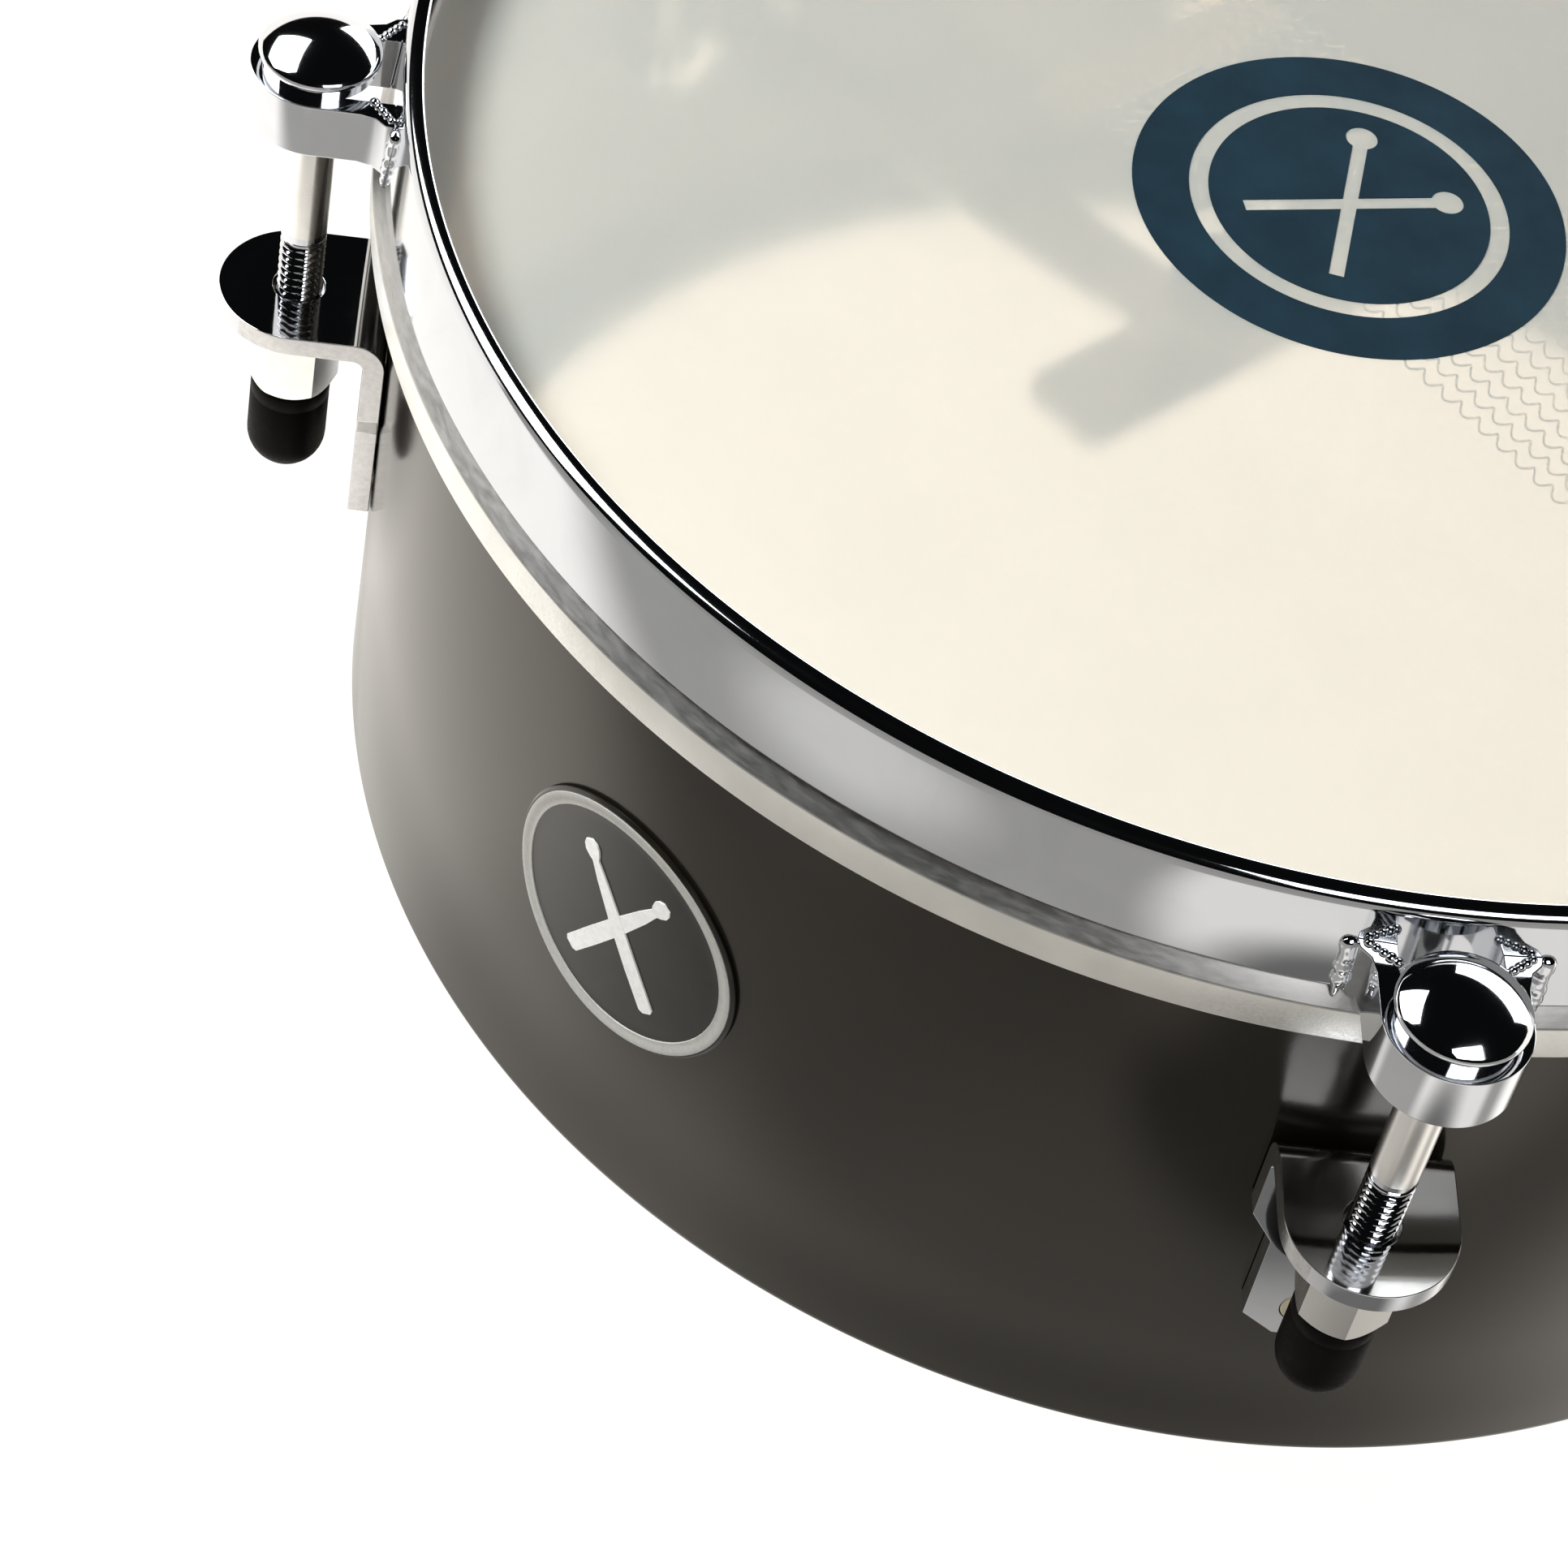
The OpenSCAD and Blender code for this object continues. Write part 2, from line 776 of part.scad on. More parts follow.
// Rubber bed between the round shell and the flat mount plate
module mount_gasket() {
  color(rubber)
    difference() {
      translate([-mount_half_w, shell_r - 4, mount_z - mount_half_h])
        cube([2 * mount_half_w, gasket_y - shell_r + 4, 2 * mount_half_h]);
      translate([0, 0, -over]) cylinder(r = shell_r + touch, h = shell_h, $fn = ring_fn);
      at_mount_screws() y_rod(mount_screw_r + touch, shell_r - 5, gasket_y + over);
    }
}

module mount_plate() {
  corner = 4;
  color(chrome)
    translate([0, mount_y, mount_z])
      rotate([90, 0, 0])
        linear_extrude(plate_t)
          difference() {
            union() {
              square([2 * mount_half_w, 2 * (mount_half_h - corner)], center = true);
              square([2 * (mount_half_w - corner), 2 * mount_half_h], center = true);
              for (sx = [-1, 1])
                for (sz = [-1, 1])
                  translate([sx * (mount_half_w - corner), sz * (mount_half_h - corner)])
                    circle(r = corner);
            }
            for (sx = [-1, 1])
              for (sz = [-1, 1])
                translate([sx * mount_screw_xz[0], sz * mount_screw_xz[1]])
                  circle(r = mount_screw_r + touch);
          }
}

// Clamp block: an upright bore for the mounting rod, and a cross hole for the wing screw
module clamp_block() {
  color(chrome)
    difference() {
      translate([0, 0, mount_z - clamp_h / 2])
        linear_extrude(clamp_h)
          union() {
            translate([-clamp_half, mount_y]) square([2 * clamp_half, clamp_depth - clamp_corner]);
            translate([-clamp_half + clamp_corner, mount_y])
              square([2 * (clamp_half - clamp_corner), clamp_depth]);
            for (sx = [-1, 1])
              translate([sx * (clamp_half - clamp_corner), clamp_back - clamp_corner])
                circle(r = clamp_corner);
          }
      translate([0, clamp_y, mount_z - clamp_h / 2 - over])
        cylinder(r = clamp_r, h = clamp_h + 2 * over);
      translate([0, 0, mount_z]) y_rod(wing_r + running, clamp_y, clamp_back + over);
    }
}

// Swivel shoe at the wing screw's tip, which bears on the rod
module clamp_shoe() {
  color("#b08d46")
    translate([0, 0, mount_z])
      difference() {
        y_rod(shoe_r, shoe_y, shoe_y + shoe_t);
        y_rod(wing_neck_r + running, shoe_y + 0.6, shoe_y + shoe_t + over);
      }
}

// Wing screw: neck in the shoe, thread in the block, hub and two wings
module wing_screw() {
  neck_y = shoe_y + 0.7;
  body_y = shoe_y + shoe_t + 0.1;
  hub_y = clamp_back + 5;
  tip_y = hub_y + 9.5;
  color(chrome)
    translate([0, 0, mount_z])
      union() {
        y_rod(wing_neck_r, neck_y, body_y + over);
        y_rod(wing_r, body_y, hub_y + over);
        y_rod(wing_hub[0], hub_y, hub_y + wing_hub[1]);
        for (side = [-1, 1])
          translate([0, 0, -wing_t / 2])
            linear_extrude(wing_t)
              union() {
                polygon([
                  [side * wing_root, hub_y + 1],
                  [side * wing_tip_x, tip_y - wing_tip_r],
                  [side * wing_tip_x, tip_y + wing_tip_r],
                  [side * wing_root, hub_y + wing_hub[1] - 1]
                ]);
                translate([side * wing_tip_x, tip_y]) circle(r = wing_tip_r);
              }
      }
}

module mount_screws() {
  color(chrome)
    at_mount_screws()
      union() {
        y_rod(mount_screw_r, inner_r - 8, mount_y + 1);
        y_rod(wall_head[0], mount_y + touch, mount_y + touch + wall_head[1]);
      }
}

module mount_nuts() {
  nut_y = sqrt(pow(inner_r, 2) - pow(mount_screw_xz[0] + 5, 2)) - touch;
  color(zinc)
    at_mount_screws()
      difference() {
        translate([0, nut_y - wall_nut[1], 0])
          rotate([-90, 0, 0]) cylinder(r = wall_nut[0], h = wall_nut[1], $fn = 6);
        y_rod(mount_screw_r + touch, nut_y - wall_nut[1] - over, nut_y + over);
      }
}

shell();
badge();
head_film();
head_sticker();
flesh_hoop();
counter_hoop();
hoop_ear(1);  // hoop_ear_1
hoop_ear(2);  // hoop_ear_2
hoop_ear(3);  // hoop_ear_3
hoop_ear(4);  // hoop_ear_4
tension_rod(1);  // tension_rod_1
tension_rod(2);  // tension_rod_2
tension_rod(3);  // tension_rod_3
tension_rod(4);  // tension_rod_4
hex_nut(1);  // hex_nut_1
hex_nut(2);  // hex_nut_2
hex_nut(3);  // hex_nut_3
hex_nut(4);  // hex_nut_4
rubber_tip(1);  // rubber_tip_1
rubber_tip(2);  // rubber_tip_2
rubber_tip(3);  // rubber_tip_3
rubber_tip(4);  // rubber_tip_4
lug_bracket(1);  // lug_bracket_1
lug_bracket(2);  // lug_bracket_2
lug_bracket(3);  // lug_bracket_3
lug_bracket(4);  // lug_bracket_4
bracket_screws();
screw_washers();
snare_wires();
snare_clip(-1);  // snare_clip_left
snare_clip(1);  // snare_clip_right
snare_strap(-1);  // snare_strap_left
snare_strap(1);  // snare_strap_right
strap_anchor(-1);  // strap_anchor_left
strap_anchor(1);  // strap_anchor_right
anchor_screws();
snare_arm();
snare_crossbar();
arm_screws();
weld_nut();
snare_saddle();
saddle_felt();
lift_screw();
lift_knob();
mount_gasket();
mount_plate();
clamp_block();
clamp_shoe();
wing_screw();
mount_screws();
mount_nuts();
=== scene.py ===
"""Looks of the small timbale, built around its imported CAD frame.

Lengths in this script are in millimetres in the row frame, and become metres when a mesh is made. The origin
is the centre of the shell's bottom rim, +Z is up, and the badge faces -Y.
"""

import json
import math

import bmesh
import bpy
from mathutils import Matrix, Vector
from mathutils.noise import noise

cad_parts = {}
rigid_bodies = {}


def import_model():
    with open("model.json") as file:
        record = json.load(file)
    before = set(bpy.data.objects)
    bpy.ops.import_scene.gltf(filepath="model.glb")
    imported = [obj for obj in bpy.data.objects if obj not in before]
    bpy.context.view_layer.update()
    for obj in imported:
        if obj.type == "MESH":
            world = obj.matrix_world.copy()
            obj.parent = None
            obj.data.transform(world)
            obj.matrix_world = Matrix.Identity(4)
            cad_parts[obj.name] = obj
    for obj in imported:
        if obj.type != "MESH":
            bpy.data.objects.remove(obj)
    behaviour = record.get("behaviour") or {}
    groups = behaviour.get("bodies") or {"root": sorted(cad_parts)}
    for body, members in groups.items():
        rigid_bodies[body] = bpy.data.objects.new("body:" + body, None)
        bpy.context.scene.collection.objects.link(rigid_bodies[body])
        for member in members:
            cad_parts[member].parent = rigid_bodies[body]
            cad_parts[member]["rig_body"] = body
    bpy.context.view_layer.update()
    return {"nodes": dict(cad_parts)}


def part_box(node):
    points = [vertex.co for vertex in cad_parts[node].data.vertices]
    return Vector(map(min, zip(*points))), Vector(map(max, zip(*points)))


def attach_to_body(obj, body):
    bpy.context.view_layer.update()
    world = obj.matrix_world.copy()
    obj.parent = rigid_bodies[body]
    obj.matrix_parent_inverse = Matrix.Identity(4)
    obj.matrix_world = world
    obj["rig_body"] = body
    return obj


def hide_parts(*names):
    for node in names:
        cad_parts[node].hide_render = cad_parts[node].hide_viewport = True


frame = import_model()

MM = 0.001
TAU = 2 * math.pi
SHARP = 32.0  # edges that turn by more degrees than this stay sharp


# ---------------------------------------------------------------- sizes taken from the frame


def box_mm(node):
    """Lowest and highest corner of a CAD node, in millimetres."""
    low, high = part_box(node)
    return low / MM, high / MM


_, shell_high = box_mm("shell")
SHELL_R = shell_high.x
SHELL_H = shell_high.z
WALL = 1.2
RIM_W = 10.0
RIM_BEND = 2.2
EDGE_ROUND = 0.3
TOP_ROUND = 0.58

film_low, film_high = box_mm("head_film")
FILM_TOP = film_high.z
COLLAR_R = film_high.x
FILM_T = 0.25
FILM_BEND = 1.3

hoop_low, hoop_high = box_mm("counter_hoop")
HOOP_OUT = hoop_high.x
HOOP_T = 2.7
HOOP_LEAN = 1.4
HOOP_ROUND = 1.8
HOOP_INNER_ROUND = 0.4

flesh_low, flesh_high = box_mm("flesh_hoop")

rod_low, rod_high = box_mm("tension_rod_1")
DOME_R = 8.1
DOME_RIM = 0.9
DOME_RISE = 2.9
SEAT_R = 7.4
SEAT_H = 1.8
ROD_R = 3.1
ROD_X = SHELL_R + 12.8
THREAD_TOP = 81.0
THREAD_PITCH = 1.27
THREAD_DEPTH = 0.62
TIP_R = 5.5

LUGS = (1, 2, 3, 4)


def lug_angle(i):
    """Azimuth of a lug, in radians."""
    return math.radians(45 + 90 * (i - 1))


def lug_matrix(i, out=0.0):
    """Frame of a lug: its +X points outwards, from a point at that distance from the axis."""
    return Matrix.Rotation(lug_angle(i), 4, "Z") @ Matrix.Translation((out, 0, 0))


# ---------------------------------------------------------------- node helpers for materials


class Nodes:
    """A material with one Principled shader, and short ways to add nodes to it."""

    def __init__(self, name, colour, roughness, metallic=0.0, **sockets):
        self.material = bpy.data.materials.new(name)
        self.material.use_nodes = True
        self.tree = self.material.node_tree
        self.shader = self.tree.nodes["Principled BSDF"]
        self.shader.inputs["Base Color"].default_value = (*colour, 1)
        self.shader.inputs["Roughness"].default_value = roughness
        self.shader.inputs["Metallic"].default_value = metallic
        for socket, value in sockets.items():
            self.shader.inputs[socket.replace("_", " ")].default_value = value
        self.place = self.tree.nodes.new("ShaderNodeTexCoord").outputs["Object"]
        self.bump_normal = None

    def add(self, kind, **inputs):
        node = self.tree.nodes.new(kind)
        for socket, value in inputs.items():
            self.put(node.inputs[socket.replace("_", " ")], value)
        return node

    def put(self, socket, value):
        if isinstance(value, bpy.types.NodeSocket):
            self.tree.links.new(value, socket)
        else:
            socket.default_value = value

    def scaled(self, factors):
        """The object's coordinates, multiplied axis by axis."""
        node = self.add("ShaderNodeMapping", Vector=self.place)
        node.inputs["Scale"].default_value = factors
        return node.outputs["Vector"]

    def noise(self, size_mm, detail=3.0, rough=0.55, stretch=(1, 1, 1), warp=0.0):
        """Noise whose features are about size_mm across."""
        node = self.add("ShaderNodeTexNoise", Vector=self.scaled(stretch))
        node.inputs["Scale"].default_value = 1 / (size_mm * MM)
        node.inputs["Detail"].default_value = detail
        node.inputs["Roughness"].default_value = rough
        node.inputs["Distortion"].default_value = warp
        return node.outputs["Fac"]

    def cells(self, size_mm):
        """Rounded cells that are about size_mm across."""
        node = self.add("ShaderNodeTexVoronoi", Vector=self.place)
        node.inputs["Scale"].default_value = 1 / (size_mm * MM)
        return node.outputs["Distance"]

    def along(self, azimuth):
        """Distance from the axis along a level direction, in metres."""
        node = self.add("ShaderNodeVectorMath")
        node.operation = "DOT_PRODUCT"
        angle = math.radians(azimuth)
        self.put(node.inputs[0], self.place)
        self.put(node.inputs[1], (math.cos(angle), math.sin(angle), 0))
        return node.outputs["Value"]

    def near(self, x, y, inner, outer, amount):
        """An amount around a point of the floor that fades to nothing between two distances, all in mm."""
        node = self.add("ShaderNodeVectorMath")
        node.operation = "DISTANCE"
        self.put(node.inputs[0], self.place)
        self.put(node.inputs[1], (x * MM, y * MM, FLOOR_Z * MM))
        return self.remap(node.outputs["Value"], inner * MM, outer * MM, amount, 0.0, smooth=True)

    def remap(self, value, low, high, to_low, to_high, smooth=False):
        node = self.add("ShaderNodeMapRange", Value=value)
        node.interpolation_type = "SMOOTHSTEP" if smooth else "LINEAR"
        node.inputs["From Min"].default_value = low
        node.inputs["From Max"].default_value = high
        node.inputs["To Min"].default_value = to_low
        node.inputs["To Max"].default_value = to_high
        return node.outputs["Result"]

    def math(self, operation, a, b=0.0):
        node = self.add("ShaderNodeMath")
        node.operation = operation
        self.put(node.inputs[0], a)
        self.put(node.inputs[1], b)
        return node.outputs[0]

    def blend(self, factor, a, b):
        """Colour a where factor is 0 and colour b where it is 1."""
        node = self.add("ShaderNodeMix")
        node.data_type = "RGBA"
        self.put(node.inputs["Factor"], factor)
        self.put(node.inputs[6], (*a, 1) if isinstance(a, tuple) else a)
        self.put(node.inputs[7], (*b, 1) if isinstance(b, tuple) else b)
        return node.outputs[2]

    def colour(self, value):
        self.put(self.shader.inputs["Base Color"], value)

    def roughness(self, value):
        self.put(self.shader.inputs["Roughness"], value)

    def bump(self, height, depth_mm, strength=1.0):
        """Adds a bump on top of those already there."""
        node = self.add("ShaderNodeBump", Height=height)
        node.inputs["Distance"].default_value = depth_mm * MM
        node.inputs["Strength"].default_value = strength
        if self.bump_normal is not None:
            self.put(node.inputs["Normal"], self.bump_normal)
        self.bump_normal = node.outputs["Normal"]
        self.put(self.shader.inputs["Normal"], self.bump_normal)


def shade(colour, factor):
    return tuple(min(1.0, c * factor) for c in colour)


# ---------------------------------------------------------------- materials


def painted_steel():
    base = (0.0115, 0.0095, 0.0072)
    m = Nodes("black_steel", base, 0.16, Specular_IOR_Level=0.45, Specular_Tint=(1, 0.93, 0.82, 1))
    patch = m.noise(38, detail=4)
    grain = m.noise(0.55, detail=2)
    mottled = m.blend(m.remap(patch, 0.3, 0.7, 0, 1), shade(base, 0.86), shade(base, 1.14))
    speckled = m.blend(m.remap(grain, 0.35, 0.7, 0, 0.35), mottled, shade(base, 1.7))
    scuff = m.noise(5, detail=5, stretch=(1, 1, 5), warp=0.6)
    m.colour(m.blend(m.remap(scuff, 0.68, 0.8, 0, 0.25), speckled, shade(base, 2.2)))
    m.roughness(m.remap(patch, 0.3, 0.7, 0.13, 0.2))
    m.bump(grain, 0.006, 0.6)
    m.bump(m.noise(9, detail=2), 0.02, 0.3)
    return m.material


def chrome(name, base=(0.68, 0.70, 0.735), rough=(0.04, 0.09), wave=0.012):
    m = Nodes(name, base, rough[0], 1.0)
    smear = m.noise(14, detail=5, warp=1.2)
    m.colour(m.blend(m.remap(smear, 0.4, 0.75, 0, 1), base, shade(base, 0.94)))
    m.roughness(m.remap(smear, 0.35, 0.75, *rough))
    m.bump(m.noise(9, detail=1), wave, 0.3)
    m.bump(m.noise(0.9, detail=3), 0.002, 0.5)
    return m.material


def sheared_steel():
    """The cut edges of the straps and plates: plated like the rest, over a torn surface."""
    base = (0.66, 0.655, 0.65)
    m = Nodes("sheared_edge", base, 0.14, 1.0)
    torn = m.noise(0.9, detail=4, rough=0.6)
    m.colour(m.blend(m.remap(torn, 0.35, 0.7, 0, 1), shade(base, 0.8), base))
    m.roughness(m.remap(torn, 0.3, 0.7, 0.1, 0.24))
    m.bump(torn, 0.012, 0.7)
    m.bump(m.noise(3.5, detail=1), 0.02, 0.4)
    return m.material


def satin_aluminium():
    base = (0.84, 0.83, 0.79)
    m = Nodes("satin_aluminium", base, 0.34, 0.8)
    grain = m.noise(0.35, detail=3)
    stain = m.noise(16, detail=4)
    m.colour(m.blend(m.remap(stain, 0.35, 0.75, 0, 1), base, shade(base, 0.8)))
    m.roughness(m.remap(grain, 0.3, 0.7, 0.28, 0.46))
    m.bump(grain, 0.03, 0.6)
    return m.material


def turned_aluminium_painted_shade():
    """The flesh hoop's shoulder: smoother than its face, with streaks along the ring, and darker than its
    face as painted shade for the dark band its slope reflects.
    """
    # darker base: painted shade standing in for the shoulder's reflection of dark surroundings
    base = (0.47, 0.465, 0.455)
    m = Nodes("turned_aluminium_painted_shade", base, 0.34, 0.9)
    streak = m.noise(2.6, detail=3, stretch=(1, 1, 6))
    m.colour(m.blend(m.remap(streak, 0.35, 0.7, 0, 1), shade(base, 0.86), shade(base, 1.08)))
    m.roughness(m.remap(streak, 0.3, 0.7, 0.3, 0.4))
    m.bump(m.noise(0.5, detail=2), 0.006, 0.5)
    return m.material


def milky_film():
    base = (0.82, 0.915, 0.885)
    m = Nodes("milky_film", base, 0.2, 0.0, Transmission_Weight=0.7, IOR=1.3)
    haze = m.noise(30, detail=5)
    m.colour(m.blend(m.remap(haze, 0.3, 0.7, 0, 1), shade(base, 0.985), shade(base, 1.015)))
    m.roughness(m.remap(m.noise(7, detail=3), 0.3, 0.7, 0.12, 0.15))
    m.bump(m.noise(1.4, detail=2), 0.002, 0.4)
    absorb = m.add("ShaderNodeVolumeAbsorption")
    absorb.inputs["Color"].default_value = (1.0, 0.56, 0.24, 1)
    absorb.inputs["Density"].default_value = 2200
    output = m.tree.nodes["Material Output"]
    m.tree.links.new(absorb.outputs["Volume"], output.inputs["Volume"])
    return m.material


def clear_ribbon():
    m = Nodes("ribbon", (0.93, 0.95, 0.95), 0.08, 0.0, Transmission_Weight=0.92, IOR=1.12)
    weave = m.noise(1.2, detail=2, stretch=(0.2, 1, 1))
    m.roughness(m.remap(weave, 0.3, 0.7, 0.06, 0.16))
    m.bump(weave, 0.004, 0.4)
    return m.material


def navy_ink():
    base = (0.0065, 0.020, 0.031)
    m = Nodes("navy_ink", base, 0.55, Specular_IOR_Level=0.03)
    blotch = m.noise(9, detail=4)
    m.colour(m.blend(m.remap(blotch, 0.35, 0.7, 0, 1), shade(base, 0.85), shade(base, 1.2)))
    m.roughness(m.remap(m.noise(0.6, detail=2), 0.3, 0.7, 0.5, 0.62))
    m.bump(m.noise(0.5, detail=2), 0.008, 0.4)
    return m.material


def badge_black():
    base = (0.0095, 0.0079, 0.006)
    m = Nodes("badge_black", base, 0.14, Specular_IOR_Level=0.4)
    smear = m.noise(6, detail=5, warp=0.8)
    m.colour(m.blend(m.remap(smear, 0.4, 0.7, 0, 1), base, shade(base, 1.6)))
    m.roughness(m.remap(smear, 0.3, 0.7, 0.14, 0.22))
    m.bump(m.noise(0.8, detail=2), 0.006, 0.4)
    return m.material


def printed(name, base):
    m = Nodes(name, base, 0.36)
    grain = m.noise(0.7, detail=3)
    m.colour(m.blend(m.remap(grain, 0.35, 0.7, 0, 1), base, shade(base, 0.88)))
    m.roughness(m.remap(m.noise(5), 0.3, 0.7, 0.3, 0.45))
    m.bump(grain, 0.006, 0.4)
    return m.material


def rubber():
    base = (0.004, 0.0036, 0.0033)
    m = Nodes("rubber", base, 0.5, Specular_IOR_Level=0.04)
    grain = m.noise(0.5, detail=3)
    bloom = m.noise(7, detail=4)
    m.colour(m.blend(m.remap(bloom, 0.45, 0.75, 0, 1), base, shade(base, 2.0)))
    m.roughness(m.remap(grain, 0.3, 0.7, 0.42, 0.56))
    m.bump(grain, 0.02, 0.5)
    return m.material


def plated_zinc(name="zinc", base=(0.60, 0.61, 0.62)):
    m = Nodes(name, base, 0.33, 1.0)
    spangle = m.cells(2.6)
    cloud = m.noise(8, detail=4)
    m.colour(m.blend(m.remap(cloud, 0.35, 0.7, 0, 1), shade(base, 0.78), shade(base, 1.1)))
    m.roughness(m.remap(spangle, 0.1, 0.8, 0.26, 0.44))
    m.bump(m.noise(0.6, detail=3), 0.012, 0.5)
    return m.material


def spring_steel():
    base = (0.74, 0.73, 0.70)
    m = Nodes("spring_steel", base, 0.28, 0.5)
    tarnish = m.noise(3, detail=4)
    m.colour(m.blend(m.remap(tarnish, 0.35, 0.7, 0, 1), shade(base, 0.7), shade(base, 1.15)))
    m.roughness(m.remap(tarnish, 0.3, 0.7, 0.22, 0.38))
    return m.material


def felt():
    base = (0.11, 0.11, 0.105)
    m = Nodes("felt", base, 0.95, Sheen_Weight=0.5, Sheen_Roughness=0.5)
    fibre = m.noise(0.35, detail=5, rough=0.75, stretch=(1, 0.4, 1), warp=1.5)
    m.colour(m.blend(m.remap(fibre, 0.3, 0.7, 0, 1), shade(base, 0.6), shade(base, 1.8)))
    m.bump(fibre, 0.25, 0.9)
    return m.material


def moulded_black():
    base = (0.017, 0.017, 0.018)
    m = Nodes("black_plastic", base, 0.45)
    grain = m.cells(0.55)
    m.colour(m.blend(m.remap(m.noise(5, detail=4), 0.4, 0.7, 0, 1), base, shade(base, 1.5)))
    m.roughness(m.remap(m.noise(2), 0.3, 0.7, 0.38, 0.55))
    m.bump(grain, 0.03, 0.5)
    return m.material


def brass():
    base = (0.62, 0.42, 0.16)
    m = Nodes("brass", base, 0.28, 1.0)
    tarnish = m.noise(1.6, detail=4)
    m.colour(m.blend(m.remap(tarnish, 0.35, 0.7, 0, 1), shade(base, 0.7), base))
    m.roughness(m.remap(m.noise(0.3, stretch=(1, 0.1, 1)), 0.3, 0.7, 0.2, 0.4))
    m.bump(m.noise(0.25, stretch=(1, 0.1, 1)), 0.01, 0.5)
    return m.material


MATERIALS = {
    "black_steel": painted_steel(),
    "chrome": chrome("chrome"),
    "hoop_chrome": chrome("hoop_chrome", (0.61, 0.63, 0.66), (0.05, 0.1), 0.012),
    "nickel": chrome("nickel", (0.90, 0.885, 0.855), (0.2, 0.3), 0.004),
    "sheared_edge": sheared_steel(),
    "satin_aluminium": satin_aluminium(),
    "turned_aluminium_painted_shade": turned_aluminium_painted_shade(),
    "milky_film": milky_film(),
    "ribbon": clear_ribbon(),
    "navy_ink": navy_ink(),
    "badge_black": badge_black(),
    "badge_grey": printed("badge_grey", (0.46, 0.45, 0.42)),
    "badge_white": printed("badge_white", (0.97, 0.965, 0.94)),
    "rubber": rubber(),
    "zinc": plated_zinc(),
    "dull_zinc": plated_zinc("dull_zinc", (0.6, 0.61, 0.62)),
    "yellow_zinc": plated_zinc("yellow_zinc", (0.86, 0.79, 0.62)),
    "spring_steel": spring_steel(),
    "felt": felt(),
    "black_plastic": moulded_black(),
    "brass": brass(),
}


# ---------------------------------------------------------------- mesh helpers


def finish_mesh(bm, name, materials, sharp=SHARP, weighted=True):
    """Turns a bmesh in millimetres into an object with smooth faces and sharp edges above an angle."""
    bmesh.ops.recalc_face_normals(bm, faces=bm.faces)
    limit = math.radians(sharp)
    for face in bm.faces:
        face.smooth = True
    for edge in bm.edges:
        edge.smooth = len(edge.link_faces) == 2 and edge.calc_face_angle(0) < limit
    mesh = bpy.data.meshes.new(name)
    bm.to_mesh(mesh)
    bm.free()
    mesh.transform(Matrix.Scale(MM, 4))
    obj = bpy.data.objects.new(name, mesh)
    bpy.context.scene.collection.objects.link(obj)
    for material in [materials] if isinstance(materials, str) else materials:
        mesh.materials.append(MATERIALS[material])
    if weighted:
        modifier = obj.modifiers.new("weighted", "WEIGHTED_NORMAL")
        modifier.keep_sharp = True
    return obj


def attach(obj, body, slot, *nodes):
    """Rides the object on a body and hides the CAD nodes that it stands for. Its slot argument is not used.
    """
    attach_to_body(obj, body)
    if nodes:
        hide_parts(*nodes)
    return obj


def rounded(points, radii, steps):
    """A closed outline whose corners become arcs. radii holds one radius for each point."""
    count = len(points)
    outline = []
    for k in range(count):
        here = Vector(points[k])
        before = Vector(points[k - 1]) - here
        after = Vector(points[(k + 1) % count]) - here
        r = radii[k]
        if r <= 0:
            outline.append(tuple(here))
            continue
        half = before.angle(after) / 2
        reach = min(r / math.tan(half), 0.49 * before.length, 0.49 * after.length)
        r = reach * math.tan(half)
        start = here + before.normalized() * reach
        end = here + after.normalized() * reach
        middle = here + (before.normalized() + after.normalized()).normalized() * r / math.sin(half)
        a, b = start - middle, end - middle
        turn = a.angle_signed(b)
        for s in range(steps + 1):
            angle = -turn * s / steps
            spoke = Matrix.Rotation(angle, 2) @ a
            outline.append(tuple(middle + spoke))
    return outline


def bridge(bm, lower, upper):
    """Joins two rings of points with faces. A ring of one point is a pole."""
    segments = max(len(lower), len(upper))
    for k in range(segments):
        n = (k + 1) % segments
        corners = [lower[k % len(lower)], lower[n % len(lower)], upper[n % len(upper)], upper[k % len(upper)]]
        bm.faces.new([v for i, v in enumerate(corners) if v not in corners[:i]])


def lathe(outline, segments, closed=True):
    """Turns an outline of (radius, height) points about Z. A point on the axis becomes a pole."""
    bm = bmesh.new()
    rings = []
    for radius, height in outline:
        if radius < 1e-6:
            rings.append([bm.verts.new((0, 0, height))])
            continue
        angles = [TAU * k / segments for k in range(segments)]
        rings.append([bm.verts.new((radius * math.cos(a), radius * math.sin(a), height)) for a in angles])
    for lower, upper in zip(rings, rings[1:]):
        bridge(bm, lower, upper)
    if closed:
        bridge(bm, rings[-1], rings[0])
    return bm


def softened(node, width, segments=2):
    """A copy of a CAD node's mesh whose sharp edges are rounded."""
    weld_gap = 0.002
    bm = bmesh.new()
    bm.from_mesh(frame["nodes"][node].data)
    bmesh.ops.transform(bm, matrix=Matrix.Scale(1 / MM, 4), verts=bm.verts)
    bmesh.ops.remove_doubles(bm, verts=bm.verts, dist=weld_gap)
    bmesh.ops.dissolve_limit(
        bm, angle_limit=math.radians(0.6), verts=bm.verts, edges=bm.edges, use_dissolve_boundaries=False
    )
    limit = math.radians(SHARP)
    edges = [e for e in bm.edges if len(e.link_faces) == 2 and e.calc_face_angle(0) > limit]
    bmesh.ops.bevel(
        bm, geom=edges, offset=width, segments=segments, profile=0.5, affect="EDGES", clamp_overlap=True
    )
    bmesh.ops.remove_doubles(bm, verts=bm.verts, dist=weld_gap)
    return bm


